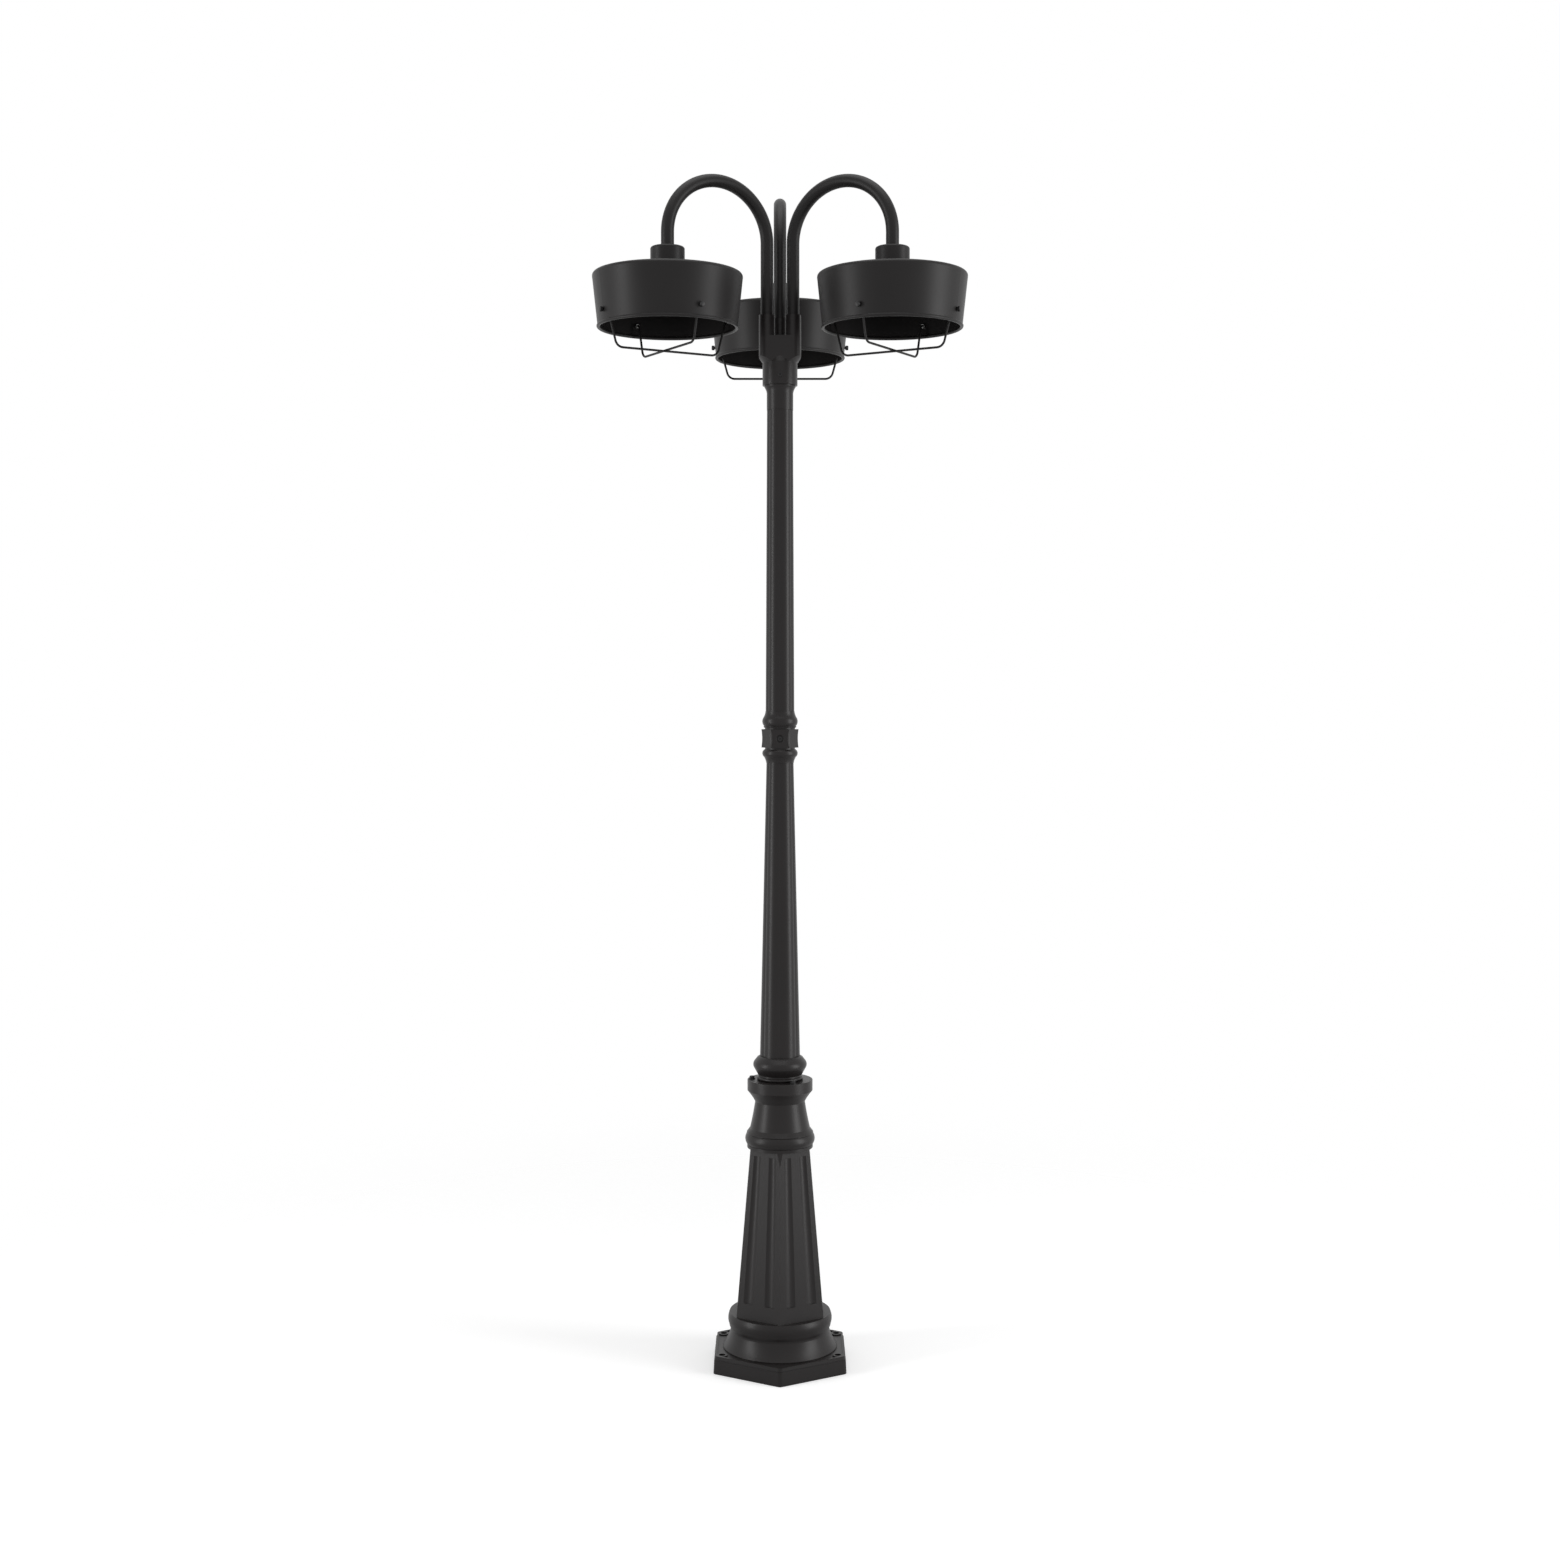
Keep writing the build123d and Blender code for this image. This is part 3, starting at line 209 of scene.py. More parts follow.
def screw_circle_tree():
    """Hexagon heads, bevelled on top, over washers, on a circle round the post's axis."""
    tree, entry, leave = shape_tree(
        "screw_circle", Material="Material", Count="Int", First_Angle="Float", Circle_Radius="Float",
        Level="Float", Washer_Radius="Float", Washer_Height="Float", Head_Radius="Float",
        Head_Height="Float", Crown="Float")
    size = entry.outputs
    ring = add_node(tree, "GeometryNodeMeshCircle",
                    {"Vertices": size["Count"], "Radius": size["Circle Radius"]})
    turn = add_node(tree, "ShaderNodeCombineXYZ", {"Z": size["First Angle"]})
    lift = add_node(tree, "ShaderNodeCombineXYZ", {"Z": size["Level"]})
    places = add_node(tree, "GeometryNodeTransform", {"Geometry": ring.outputs[0],
                      "Translation": lift.outputs[0], "Rotation": turn.outputs[0]})
    washer = add_node(tree, "GeometryNodeMeshCylinder", {"Vertices": 40,
                      "Radius": size["Washer Radius"], "Depth": size["Washer Height"]})
    plain = math_node(tree, "SUBTRACT", size["Head Height"], size["Crown"])
    head = add_node(tree, "GeometryNodeMeshCylinder",
                    {"Vertices": 6, "Radius": size["Head Radius"], "Depth": plain})
    crown_top = math_node(tree, "SUBTRACT", size["Head Radius"], size["Crown"])
    crown = add_node(tree, "GeometryNodeMeshCone", {"Vertices": 6, "Radius Top": crown_top,
                     "Radius Bottom": size["Head Radius"], "Depth": size["Crown"]})
    parts = []
    for shape, level in (
            (washer, math_node(tree, "MULTIPLY", size["Washer Height"], 0.5)),
            (head, math_node(tree, "MULTIPLY_ADD", plain, 0.5, size["Washer Height"])),
            (crown, math_node(tree, "ADD", plain, size["Washer Height"]))):
        up = add_node(tree, "ShaderNodeCombineXYZ", {"Z": level})
        parts.append(add_node(tree, "GeometryNodeTransform", {"Geometry": shape.outputs["Mesh"],
                              "Translation": up.outputs[0]}).outputs[0])
    screw = add_node(tree, "GeometryNodeJoinGeometry")
    for part in parts:
        tree.links.new(part, screw.inputs[0])
    stood = add_node(tree, "GeometryNodeInstanceOnPoints",
                     {"Points": places.outputs[0], "Instance": screw.outputs[0]})
    close_tree(tree, entry, leave, stood.outputs[0])
    return tree


ring_top = 0.537
grow("flange_hex_screws", bpy.data.meshes.new("empty"), screw_circle_tree(),
     {"Material": blackened, "Count": 3, "First Angle": radians(57), "Circle Radius": 0.0526,
      "Level": ring_top, "Washer Radius": 0.0062, "Washer Height": 0.0016, "Head Radius": 0.0047,
      "Head Height": 0.0040, "Crown": 0.0007}, "post", "black_screw", "flange_screws")

# ---- Lower and upper shaft ---------------------------------------------------------------------
# Two aluminium castings with six shallow lobes, narrowing to the top, and turned mouldings at
# their ends. Each is coated as the base is. Lines of the mouldings are in millimetres here.


def bow(start, end, sagitta, steps=10):
    """Points of an arc between two points, bowed out by the sagitta, or in if it is negative."""
    (x0, z0), (x1, z1) = start, end
    chord = hypot(x1 - x0, z1 - z0)
    out = ((z1 - z0) / chord, (x0 - x1) / chord)
    half = 2 * atan2(2 * abs(sagitta), chord)
    reach = chord / (2 * sin(half))
    side = 1 if sagitta > 0 else -1
    points = []
    for step in range(steps + 1):
        angle = half * (2 * step / steps - 1)
        along = 0.5 * chord + reach * sin(angle)
        rise = side * (reach * cos(angle) - reach * cos(half))
        points.append((x0 + (x1 - x0) * along / chord + out[0] * rise,
                       z0 + (z1 - z0) * along / chord + out[1] * rise))
    return points


def profile_curve(name, *lines):
    """Closed outlines to be turned: radius and height in millimetres, one spline for each."""
    curve = bpy.data.curves.new(name, "CURVE")
    curve.dimensions = "3D"
    for line in lines:
        spline = curve.splines.new("POLY")
        spline.points.add(len(line) - 1)
        for point, (radius, height) in zip(spline.points, line):
            point.co = (radius / 1000, -height / 1000, 0, 1)
        spline.use_cyclic_u = True
    return curve


def turned(tree, profile, steps):
    """Turns outlines about the vertical axis: the guide circle's radius is taken off first."""
    guide = 0.01
    shifted = add_node(tree, "GeometryNodeTransform", {"Geometry": profile,
                       "Translation": (-guide, 0, 0)})
    circle = add_node(tree, "GeometryNodeCurvePrimitiveCircle", {"Resolution": steps, "Radius": guide})
    return add_node(tree, "GeometryNodeCurveToMesh", {"Curve": circle.outputs["Curve"],
                    "Profile Curve": shifted.outputs[0]}).outputs[0]


def lobed_shaft_tree():
    """A run of shallow round lobes that narrows to the top, and turned mouldings at its ends."""
    tree, entry, leave = shape_tree(
        "lobed_shaft", Material="Material", Lobes="Float", Valley_Share="Float", Bottom="Float",
        Top="Float", Bottom_Crest="Float", Top_Crest="Float")
    size = entry.outputs
    tube = add_node(tree, "GeometryNodeMeshCylinder", {"Vertices": 240, "Side Segments": 12,
                    "Radius": 1.0, "Depth": 1.0}, fill_type="NGON")
    place = add_node(tree, "GeometryNodeInputPosition")
    apart = add_node(tree, "ShaderNodeSeparateXYZ", {0: place.outputs[0]})
    share = math_node(tree, "ADD", apart.outputs["Z"], 0.5)
    turn = math_node(tree, "ARCTAN2", apart.outputs["Y"], apart.outputs["X"])
    half = math_node(tree, "DIVIDE", pi, size["Lobes"])
    within = math_node(tree, "WRAP", turn, half, math_node(tree, "MULTIPLY", half, -1.0))
    # a lobe is an arc whose centre lies this share of the crest's radius from the axis
    valley = size["Valley Share"]
    centre = math_node(
        tree, "DIVIDE", math_node(tree, "MULTIPLY_ADD", valley, valley, -1.0),
        math_node(tree, "MULTIPLY_ADD", math_node(tree, "MULTIPLY", valley, 2.0),
                  math_node(tree, "COSINE", half), -2.0))
    lobe = math_node(tree, "SUBTRACT", 1.0, centre)
    across = math_node(tree, "MULTIPLY", centre, math_node(tree, "SINE", within))
    root = math_node(tree, "SQRT", math_node(tree, "SUBTRACT", math_node(tree, "MULTIPLY", lobe, lobe),
                                             math_node(tree, "MULTIPLY", across, across)))
    shape = math_node(tree, "MULTIPLY_ADD", centre, math_node(tree, "COSINE", within), root)
    fall = math_node(tree, "SUBTRACT", size["Top Crest"], size["Bottom Crest"])
    radius = math_node(tree, "MULTIPLY", shape,
                       math_node(tree, "MULTIPLY_ADD", fall, share, size["Bottom Crest"]))
    rise = math_node(tree, "SUBTRACT", size["Top"], size["Bottom"])
    moved = add_node(tree, "ShaderNodeCombineXYZ", {
        "X": math_node(tree, "MULTIPLY", radius, math_node(tree, "COSINE", turn)),
        "Y": math_node(tree, "MULTIPLY", radius, math_node(tree, "SINE", turn)),
        "Z": math_node(tree, "MULTIPLY_ADD", rise, share, size["Bottom"])})
    run = add_node(tree, "GeometryNodeSetPosition",
                   {"Geometry": tube.outputs["Mesh"], "Position": moved.outputs[0]})
    close_tree(tree, entry, leave, run.outputs[0], turned(tree, size["Geometry"], steps=144))
    return tree


shaft_tree = lobed_shaft_tree()
lower_run_start, lower_run_end, upper_run_start, upper_run_end = 582, 1130, 1226, 1780
spigot_radius, spigot_end = 36, 473
flange_radius, flange_seat, flange_top, neck_radius = 56.9, 531, 537, 40.6
lower_foot = [(29, spigot_end), (spigot_radius, spigot_end), (spigot_radius, flange_seat),
              (flange_radius, flange_seat), (flange_radius, flange_top), (neck_radius, flange_top),
              *bow((neck_radius, flange_top), (neck_radius, 544), 2.8), (neck_radius, 547),
              (41.5, 547), *bow((48, 559), (47.2, 573), 2.5), (42.3, 579.2), (38.2, 581.5),
              (38.2, lower_run_start), (27, lower_run_start)]
joint_bore, joint_radius, lower_face, upper_face = 21.1, 28, 1158.5, 1192.5
bead_radius, bead_start, bead_end = 29.4, 1141, 1155
lower_top = [(joint_bore, lower_run_end), *bow((25.5, lower_run_end), (bead_radius, bead_start), -0.5),
             *bow((bead_radius, bead_start), (bead_radius, bead_end), 3.5), (joint_radius, bead_end),
             (joint_radius, lower_face), (joint_bore, lower_face)]
bulge_start, bulge_end = (29.6, 1198.5), (30.6, 1214.5)
upper_foot = [(joint_bore, upper_face), (joint_radius, upper_face),
              *bow((joint_radius, 1195.5), bulge_start, 1.6), *bow(bulge_start, bulge_end, 2.8),
              *bow(bulge_end, (26.9, upper_run_start), -0.7), (joint_bore, upper_run_start)]
plain_radius, collar_radius, collar_top = 24.3, 28.6, 1825
tenon_bore, tenon_radius, tenon_top = 18, 24.5, 1863
upper_top = [(tenon_bore, upper_run_end), (plain_radius, upper_run_end),
             *bow((plain_radius, 1811), (collar_radius, 1822), -0.7), (collar_radius, collar_top),
             (tenon_radius, collar_top), (tenon_radius, tenon_top), (tenon_bore, tenon_top)]
for name, lines, start, end, low_crest, high_crest in (
        ("lower_shaft", (lower_foot, lower_top), lower_run_start, lower_run_end, 0.0374, 0.0251),
        ("upper_shaft", (upper_foot, upper_top), upper_run_start, upper_run_end, 0.0265, 0.0239)):
    grow("lobed_" + name, profile_curve(name, *lines), shaft_tree,
         {"Material": cast_coat, "Lobes": 6.0, "Valley Share": 0.94, "Bottom": start / 1000,
          "Top": end / 1000, "Bottom Crest": low_crest, "Top Crest": high_crest},
         "post", "black_casting", name)

# ---- Joint between the shafts ------------------------------------------------------------------
# A coated hexagonal collar over a zinc plated nipple, which is screwed into both shafts.
# Three blackened set screws, sunk in its faces, keep it from turning.
finish_nodes(cast_coat, "coupling_collar")
finish_nodes(zinc, "joint_nipple")
finish_nodes(blackened, "coupling_set_screws")

# ---- Hub ---------------------------------------------------------------------------------------
# A coated casting that turns on the upper shaft's tenon until its three set screws are tight.
# Its three upright sockets hold the arms.
finish_nodes(cast_coat, "arm_hub")
finish_nodes(blackened, "hub_set_screws")

# ---- Terminal block and leads ------------------------------------------------------------------
# A round block of black phenolic in the hub joins the lead in the post to the three in the arms.
# The leads have a matt black plastic jacket.
phenolic = finish("black_phenolic", dark=(0.012, 0.010, 0.009), light=(0.022, 0.019, 0.017),
                  roughness=0.33, depth=0.00006, peel_scale=600.0, cloud_scale=60.0, change=0.1)
jacket = finish("lead_jacket", dark=(0.014, 0.014, 0.014), light=(0.024, 0.024, 0.024),
                roughness=0.55, depth=0.0001, peel_scale=800.0, cloud_scale=40.0, change=0.1)
sides = {"left": radians(210), "right": radians(330), "back": radians(90)}
finish_nodes(phenolic, "terminal_block")
finish_nodes(jacket, "post_lead", *["arm_lead_" + side for side in sides])

# ---- Arms --------------------------------------------------------------------------------------
# Three gooseneck arms bent from steel tube of 23 mm, each fixed in a socket of the hub.
# The coat on tube and sheet metal is smoother than on the castings.
sheet_coat = finish("satin_black_coat_on_steel", dark=(0.0080, 0.0073, 0.0073),
                    light=(0.0115, 0.0104, 0.0104), roughness=0.44, depth=0.00016,
                    peel_scale=520.0, Specular_IOR_Level=0.20)
finish_nodes(sheet_coat, *["arm_" + side for side in sides])

# ---- Socket cups -------------------------------------------------------------------------------
# A deep drawn steel cup closes the top of each head. A hollow threaded nipple through its top,
# with a bushing in the arm above and a locknut below, holds the cup and the lampholder.
finish_nodes(sheet_coat, *["socket_cup_" + side for side in sides])
finish_nodes(zinc, "arm_bushings", "stem_nipples", "stem_locknuts")

# ---- Lampholders -------------------------------------------------------------------------------
# Glazed porcelain bodies with a brass screw shell and a brass centre contact inside.
# A ring of black phenolic on the porcelain clamps the shade under the cup.
porcelain = finish("glazed_porcelain", dark=(0.74, 0.73, 0.69), light=(0.80, 0.79, 0.76),
                   roughness=0.12, depth=0.00005, peel_scale=90.0, cloud_scale=30.0, change=0.04,
                   Coat_Weight=0.6)
brass = finish("spun_brass", dark=(0.56, 0.37, 0.13), light=(0.70, 0.50, 0.20), roughness=0.30,
               depth=0.00006, peel_scale=900.0, cloud_scale=150.0, change=0.18, Metallic=1.0)
finish_nodes(porcelain, *["lampholder_" + side for side in sides])
finish_nodes(brass, "holder_contacts", *["screw_shell_" + side for side in sides])
finish_nodes(phenolic, *["shade_ring_" + side for side in sides])

# ---- Shades ------------------------------------------------------------------------------------
# Wide drums spun from steel sheet, wider at the top than at the rolled rim, with four holes for
# the guard's wires. They are coated black inside and outside.
finish_nodes(sheet_coat, *["shade_" + side for side in sides])

# ---- Bulbs -------------------------------------------------------------------------------------
# Compact opal glass bulbs on nickel plated caps with a rolled thread.
# Each screws into its lampholder, so the cap turns with the glass.
opal = finish("opal_glass", dark=(0.80, 0.79, 0.76), light=(0.84, 0.83, 0.80), roughness=0.24,
              depth=0.00003, peel_scale=60.0, cloud_scale=25.0, change=0.05, IOR=1.5, Coat_Weight=0.3)
nickel = finish("nickel_plate", dark=(0.50, 0.48, 0.43), light=(0.62, 0.60, 0.54), roughness=0.28,
                depth=0.00005, peel_scale=900.0, cloud_scale=140.0, change=0.15, Metallic=1.0)
finish_nodes(opal, *["bulb_glass_" + side for side in sides])
head_reach = 0.231  # from the post's axis to a head's axis


def threaded_cap_tree():
    """A turned cap with a rolled thread that climbs round it."""
    tree, entry, leave = shape_tree(
        "threaded_cap", Material="Material", Place="Vector", Thread_Level="Float",
        Thread_Height="Float", Turns="Float", Root_Radius="Float", Thread_Radius="Float")
    size = entry.outputs
    helix = add_node(tree, "GeometryNodeCurveSpiral", {
        "Resolution": 40, "Rotations": size["Turns"], "Start Radius": size["Root Radius"],
        "End Radius": size["Root Radius"], "Height": size["Thread Height"]})
    lift = add_node(tree, "ShaderNodeCombineXYZ", {"Z": size["Thread Level"]})
    raised = add_node(tree, "GeometryNodeTransform",
                      {"Geometry": helix.outputs[0], "Translation": lift.outputs[0]})
    bead = add_node(tree, "GeometryNodeCurvePrimitiveCircle",
                    {"Resolution": 8, "Radius": size["Thread Radius"]})
    thread = add_node(tree, "GeometryNodeCurveToMesh", {"Curve": raised.outputs[0],
                      "Profile Curve": bead.outputs["Curve"], "Fill Caps": True})
    both = add_node(tree, "GeometryNodeJoinGeometry")
    tree.links.new(turned(tree, size["Geometry"], steps=64), both.inputs[0])
    tree.links.new(thread.outputs[0], both.inputs[0])
    stood = add_node(tree, "GeometryNodeTransform",
                     {"Geometry": both.outputs[0], "Translation": size["Place"]})
    close_tree(tree, entry, leave, stood.outputs[0])
    return tree


cap_tree = threaded_cap_tree()
pole = 0.02  # an outline stops this short of the axis
bore, lip_radius, cap_radius, tip_radius = 12.46, 13.1, 12.75, 4.5
cap_foot, cap_shoulder, cap_end, bore_end = 1995.7, 2016.5, 2024.7, 2003.72
cap_line = [(bore, cap_foot), (lip_radius, cap_foot), (lip_radius, 1997.5), (cap_radius, 1998),
            (cap_radius, cap_shoulder),
            *bow((cap_radius, cap_shoulder), (tip_radius, 2022.7), 1.2, steps=6),
            (tip_radius, 2024.0), (3.6, cap_end), (pole, cap_end), (pole, bore_end), (bore, bore_end)]
for side, turn in sides.items():
    grow("threaded_cap_" + side, profile_curve("cap_line_" + side, cap_line), cap_tree,
         {"Material": nickel, "Place": (head_reach * cos(turn), head_reach * sin(turn), 0.0),
          "Thread Level": 1.9992, "Thread Height": 0.0160, "Turns": 4.45, "Root Radius": 0.01268,
          "Thread Radius": 0.0005}, "bulb_" + side, "bulb_cap", "bulb_cap_" + side)

# ---- Wire guards -------------------------------------------------------------------------------
# Two steel wires of 4 mm for each shade, bent to an open U, welded where they cross, and coated.
# Their ends go out through the shade's wall.
wire_coat = finish("satin_black_coat_on_wire", dark=(0.0070, 0.0064, 0.0064),
                   light=(0.0110, 0.0100, 0.0100), roughness=0.46, depth=0.00008,
                   peel_scale=700.0, cloud_scale=50.0, Specular_IOR_Level=0.2)
hole_level, guard_foot, wire_radius = 1.9320, 1.8690, 0.0020
rim_radius, lean, wall = 0.1248, 0.01 / 0.0937, 0.0015
hole_over_rim, leg_inset, leg_slope = 0.0197, 0.0089, 0.0165
knob_half, knob_gap, thread_in_knob = 0.0045, 0.0003, 0.0042
wall_outside = rim_radius + hole_over_rim * lean
leg_top = wall_outside - wall - leg_inset
leg_foot = leg_top - leg_slope
knob_start = wall_outside + knob_half * lean + knob_gap
wire_tip = knob_start + thread_in_knob
top_bend, foot_bend, crossing_lift, weld_lift = 0.005, 0.015, 0.003, 0.0014


def bent_wire_tree():
    """Round wire along bent runs, whose corners are bent to the radius kept on each point."""
    tree, entry, leave = shape_tree("bent_wire", Material="Material", Wire_Radius="Float",
                                    Weld_Place="Vector", Weld_Radius="Float", Weld_Height="Float")
    size = entry.outputs
    kept = add_node(tree, "GeometryNodeInputRadius")
    bent = add_node(tree, "GeometryNodeFilletCurve", {"Curve": size["Geometry"], "Count": 8,
                    "Radius": kept.outputs[0]}, mode="POLY")
    even = add_node(tree, "GeometryNodeSetCurveRadius", {"Curve": bent.outputs[0], "Radius": 1.0})
    section = add_node(tree, "GeometryNodeCurvePrimitiveCircle",
                       {"Resolution": 20, "Radius": size["Wire Radius"]})
    wire = add_node(tree, "GeometryNodeCurveToMesh", {"Curve": even.outputs[0],
                    "Profile Curve": section.outputs["Curve"], "Fill Caps": True})
    drop = add_node(tree, "GeometryNodeMeshIcoSphere", {"Radius": 1.0, "Subdivisions": 4})
    flat = add_node(tree, "ShaderNodeCombineXYZ", {"X": size["Weld Radius"], "Y": size["Weld Radius"],
                    "Z": size["Weld Height"]})
    bead = add_node(tree, "GeometryNodeTransform", {"Geometry": drop.outputs["Mesh"],
                    "Translation": size["Weld Place"], "Scale": flat.outputs[0]})
    close_tree(tree, entry, leave, wire.outputs[0], bead.outputs[0])
    return tree


wire_tree = bent_wire_tree()
for side, turn in sides.items():
    middle = Vector((head_reach * cos(turn), head_reach * sin(turn), 0.0))
    route = bpy.data.curves.new("guard_route_" + side, "CURVE")
    route.dimensions = "3D"
    for quarter, foot in ((0.0, guard_foot), (0.5 * pi, guard_foot + crossing_lift)):
        out = Vector((cos(turn + quarter), sin(turn + quarter), 0.0))
        runs = ((-wire_tip, hole_level, 0.0), (-leg_top, hole_level, top_bend),
                (-leg_foot, foot, foot_bend), (leg_foot, foot, foot_bend),
                (leg_top, hole_level, top_bend), (wire_tip, hole_level, 0.0))
        spline = route.splines.new("POLY")
        spline.points.add(len(runs) - 1)
        for point, (reach, level, corner) in zip(spline.points, runs):
            point.co = (*(middle + reach * out + Vector((0, 0, level))), 1)
            point.radius = corner
    grow("bent_guard_" + side, route, wire_tree,
         {"Material": wire_coat, "Wire Radius": wire_radius,
          "Weld Place": (middle.x, middle.y, guard_foot + weld_lift), "Weld Radius": 0.0036,
          "Weld Height": 0.0024}, "arm_cluster", "black_wire", "guard_" + side)

# ---- Guard nuts and knobs ----------------------------------------------------------------------
# Inside the wall a zinc plated nut stops each wire. Outside, a blackened round nut with a
# ribbed grip and a blind thread holds it, and comes off by hand to free the guard.
finish_nodes(zinc, "guard_nuts")


def ribbed_knob_tree():
    """A turned knob whose widest band is drawn in and out round it, laid on its side in place."""
    tree, entry, leave = shape_tree("ribbed_knob", Material="Material", Place="Vector",
                                    Turn="Vector", Grip_Radius="Float", Rib_Depth="Float")
    size = entry.outputs
    ribs = 26
    drum = turned(tree, size["Geometry"], steps=2 * ribs)
    place = add_node(tree, "GeometryNodeInputPosition")
    apart = add_node(tree, "ShaderNodeSeparateXYZ", {0: place.outputs[0]})
    turn = math_node(tree, "ARCTAN2", apart.outputs["Y"], apart.outputs["X"])
    out = add_node(tree, "ShaderNodeVectorMath", {0: add_node(
        tree, "ShaderNodeCombineXYZ", {"X": apart.outputs["X"], "Y": apart.outputs["Y"]}).outputs[0]},
        operation="LENGTH")
    groove = math_node(tree, "MULTIPLY_ADD", math_node(
        tree, "COSINE", math_node(tree, "MULTIPLY", turn, float(ribs))), -0.5, 0.5)
    grip = math_node(tree, "GREATER_THAN", out.outputs["Value"], size["Grip Radius"])
    draw = math_node(tree, "MULTIPLY", math_node(tree, "MULTIPLY", groove, grip), size["Rib Depth"])
    inward = math_node(tree, "MULTIPLY", draw, -1.0)
    step = add_node(tree, "ShaderNodeCombineXYZ", {
        "X": math_node(tree, "MULTIPLY", math_node(tree, "COSINE", turn), inward),
        "Y": math_node(tree, "MULTIPLY", math_node(tree, "SINE", turn), inward)})
    ribbed = add_node(tree, "GeometryNodeSetPosition", {"Geometry": drum, "Offset": step.outputs[0]})
    laid = add_node(tree, "GeometryNodeTransform", {"Geometry": ribbed.outputs[0],
                    "Translation": size["Place"], "Rotation": size["Turn"]})
    close_tree(tree, entry, leave, laid.outputs[0])
    return tree


knob_tree = ribbed_knob_tree()
thread_radius, thread_depth, knob_radius, knob_length = 2.1, 4.5, 4.5, 6.0
knob_line = [(thread_radius, 0), (3.6, 0), (knob_radius, 0.8), (knob_radius, 5.0), (3.9, 5.7),
             (2.4, knob_length), (pole, knob_length), (pole, thread_depth),
             (thread_radius, thread_depth)]
for side, turn in sides.items():
    for number in range(1, 5):
        facing = turn + 0.5 * pi * (number - 1)
        grow(f"ribbed_knob_{side}_{number}", profile_curve(f"knob_line_{side}_{number}", knob_line),
             knob_tree, {"Material": blackened, "Grip Radius": 0.0044, "Rib Depth": 0.00035,
                         "Place": (head_reach * cos(turn) + knob_start * cos(facing),
                                   head_reach * sin(turn) + knob_start * sin(facing), hole_level),
                         "Turn": (0.0, 0.5 * pi, facing)},
             f"knob_{side}_{number}", "black_screw", f"guard_knob_{side}_{number}")

# ---- Floor -------------------------------------------------------------------------------------
# A pale floor that fades into the white room. It keeps the post's soft shadow.
floor_radius, floor_level, floor_glow = 2.6, -0.0005, 0.30
floor_rim = [(floor_radius * cos(radians(turn)), floor_radius * sin(radians(turn)), floor_level)
             for turn in range(0, 360, 5)]
floor_mesh = bpy.data.meshes.new("floor")
floor_mesh.from_pydata(floor_rim, [], [tuple(range(len(floor_rim)))])
floor = bpy.data.objects.new("floor", floor_mesh)
bpy.context.scene.collection.objects.link(floor)
pale = bpy.data.materials.new("pale_floor")
pale.use_nodes = True
floor_mesh.materials.append(pale)
floor_tree = pale.node_tree
floor_shader = floor_tree.nodes["Principled BSDF"]
floor_shader.inputs["Base Color"].default_value = (0.82, 0.82, 0.82, 1)
floor_shader.inputs["Roughness"].default_value = 0.9
floor_shader.inputs["Specular IOR Level"].default_value = 0.0
floor_shader.inputs["Emission Color"].default_value = (1, 1, 1, 1)
floor_seen = floor_tree.nodes.new("ShaderNodeLightPath")
glow = math_node(floor_tree, "MULTIPLY", floor_seen.outputs["Is Camera Ray"], floor_glow)
floor_tree.links.new(glow, floor_shader.inputs["Emission Strength"])
floor_place = floor_tree.nodes.new("ShaderNodeTexCoord")
floor_reach = floor_tree.nodes.new("ShaderNodeVectorMath")
floor_reach.operation = "LENGTH"
floor_tree.links.new(floor_place.outputs["Object"], floor_reach.inputs[0])
fade = floor_tree.nodes.new("ShaderNodeMapRange")
fade.interpolation_type = "SMOOTHSTEP"
for socket, value in (("From Min", 0.4), ("From Max", 2.3), ("To Min", 1.0), ("To Max", 0.0)):
    fade.inputs[socket].default_value = value
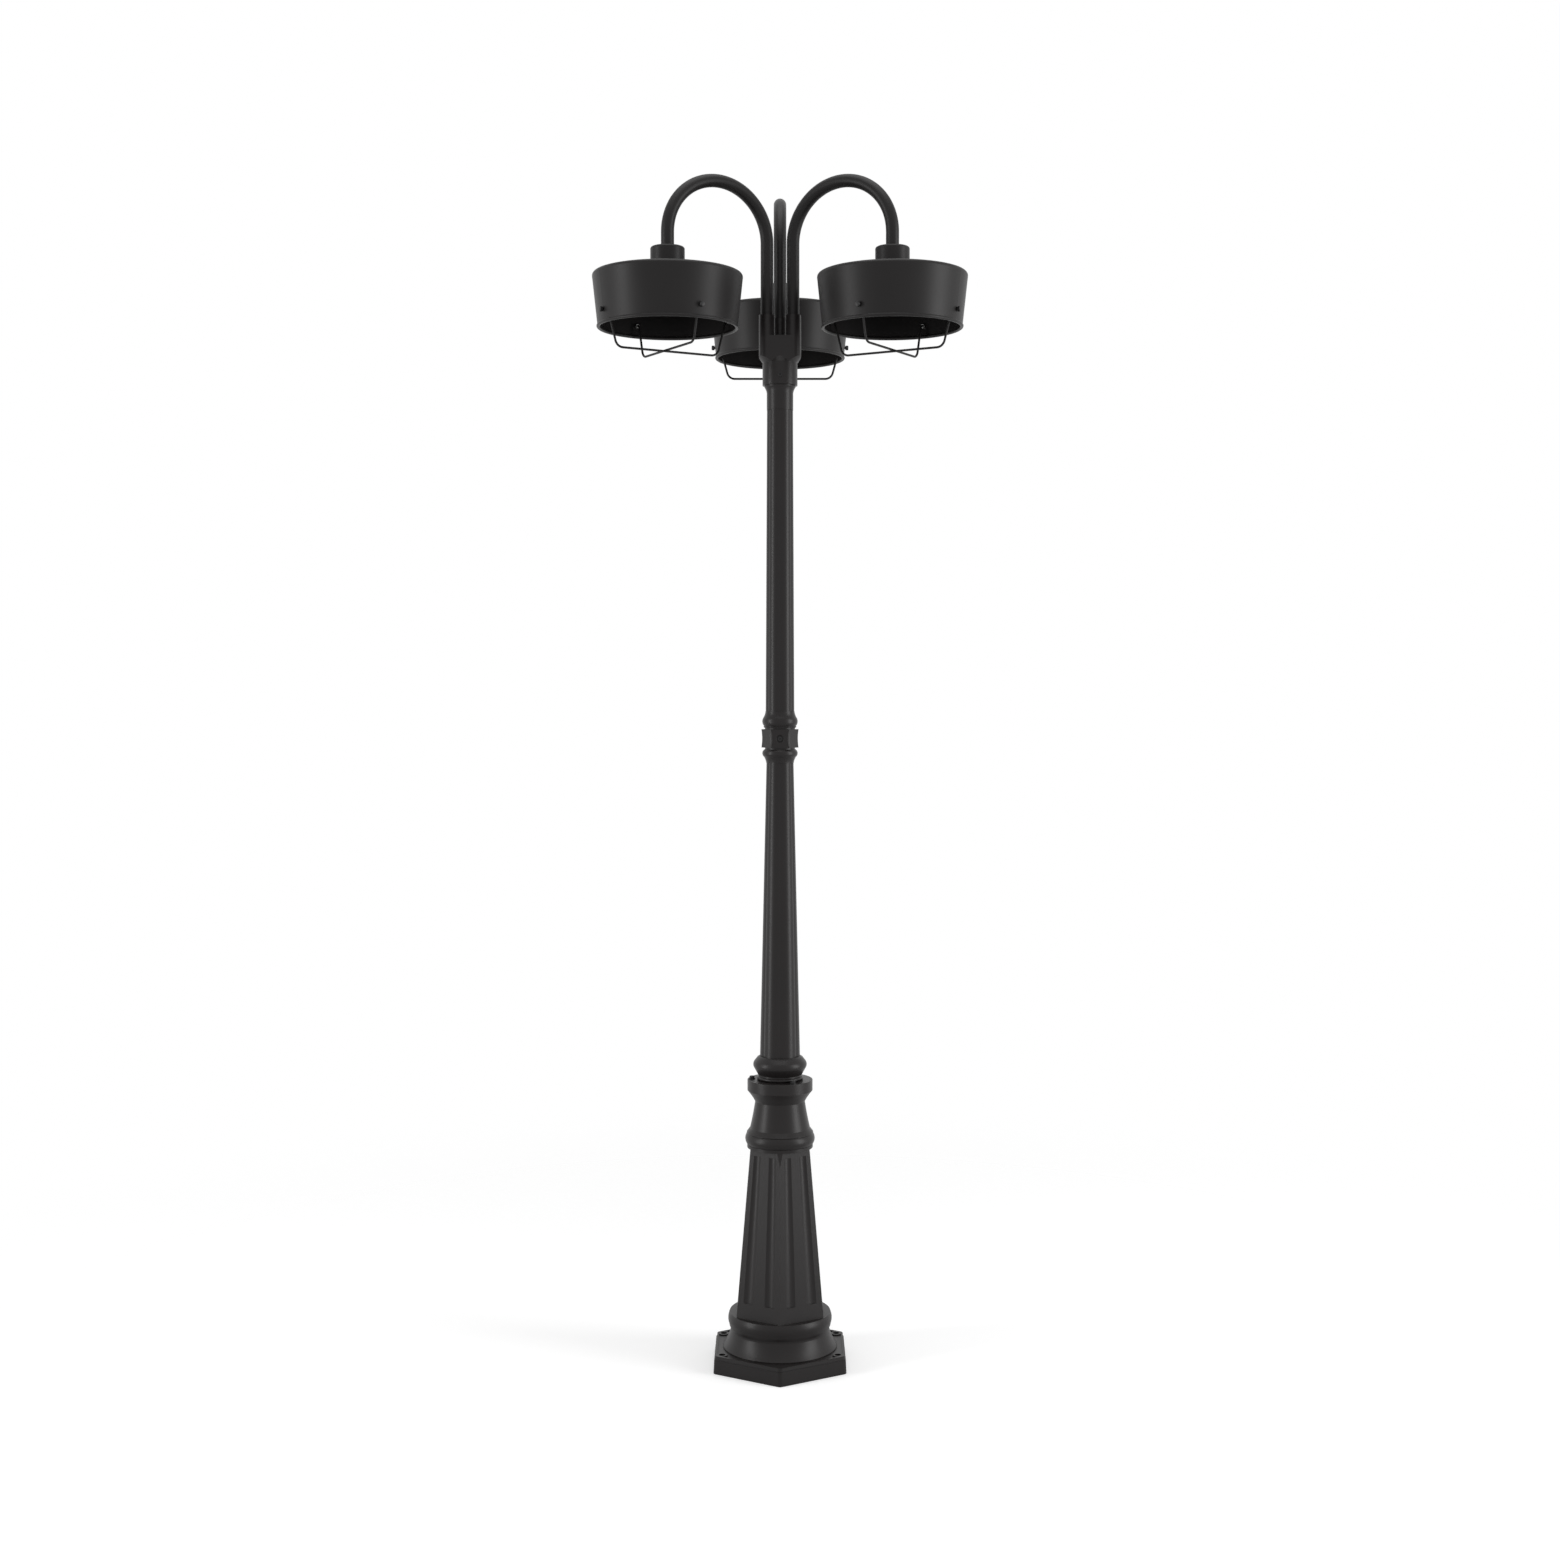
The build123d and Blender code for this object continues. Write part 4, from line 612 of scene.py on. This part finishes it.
floor_tree.links.new(floor_reach.outputs["Value"], fade.inputs["Value"])
floor_tree.links.new(fade.outputs["Result"], floor_shader.inputs["Alpha"])

# ---- Camera and light --------------------------------------------------------------------------
# The camera stands 3.7 m before the post and looks a little down, as in the photograph.
# A narrow soft lamp stands at the left and a broader one at the right, and a square one hangs
# over the post, all in a white room.
look_down = 2.88
camera_data = bpy.data.cameras.new("camera")
camera_data.lens = 46.11
camera_data.sensor_width = 36.0
camera_data.sensor_fit = "HORIZONTAL"
camera = bpy.data.objects.new("camera", camera_data)
camera.location = (0.0, -3.7125, 1.2838)
camera.rotation_euler = (radians(90 - look_down), 0, 0)
bpy.context.scene.collection.objects.link(camera)
bpy.context.scene.camera = camera

for name, place, aim, width, height, power in (
        ("left_lamp", (-3.2, -1.2, 1.3), (0, 0, 1.1), 0.6, 3.2, 60),
        ("right_lamp", (3.1, -1.0, 1.4), (0, 0, 1.1), 1.2, 3.2, 76),
        ("top_lamp", (0, -0.4, 4.4), (0, 0, 1.6), 2.4, 2.4, 40)):
    lamp = bpy.data.lights.new(name, "AREA")
    lamp.shape = "RECTANGLE"
    lamp.size, lamp.size_y, lamp.energy = width, height, power
    stand = bpy.data.objects.new(name, lamp)
    stand.location = place
    stand.rotation_euler = (Vector(aim) - Vector(place)).to_track_quat("-Z", "Y").to_euler()
    bpy.context.scene.collection.objects.link(stand)

world = bpy.data.worlds.new("room")
bpy.context.scene.world = world
world.use_nodes = True
room = world.node_tree
room_light = room.nodes["Background"]
room_light.inputs["Color"].default_value = (1, 1, 1, 1)
light_given, light_added_when_seen = 0.5, 0.5
seen = room.nodes.new("ShaderNodeLightPath")
white = math_node(room, "MAXIMUM", seen.outputs["Is Camera Ray"],
                  math_node(room, "MAXIMUM", seen.outputs["Is Glossy Ray"],
                            seen.outputs["Is Transmission Ray"]))
strength = math_node(room, "MULTIPLY_ADD", white, light_added_when_seen, light_given)
room.links.new(strength, room_light.inputs["Strength"])

bpy.context.scene.view_settings.view_transform = "Standard"
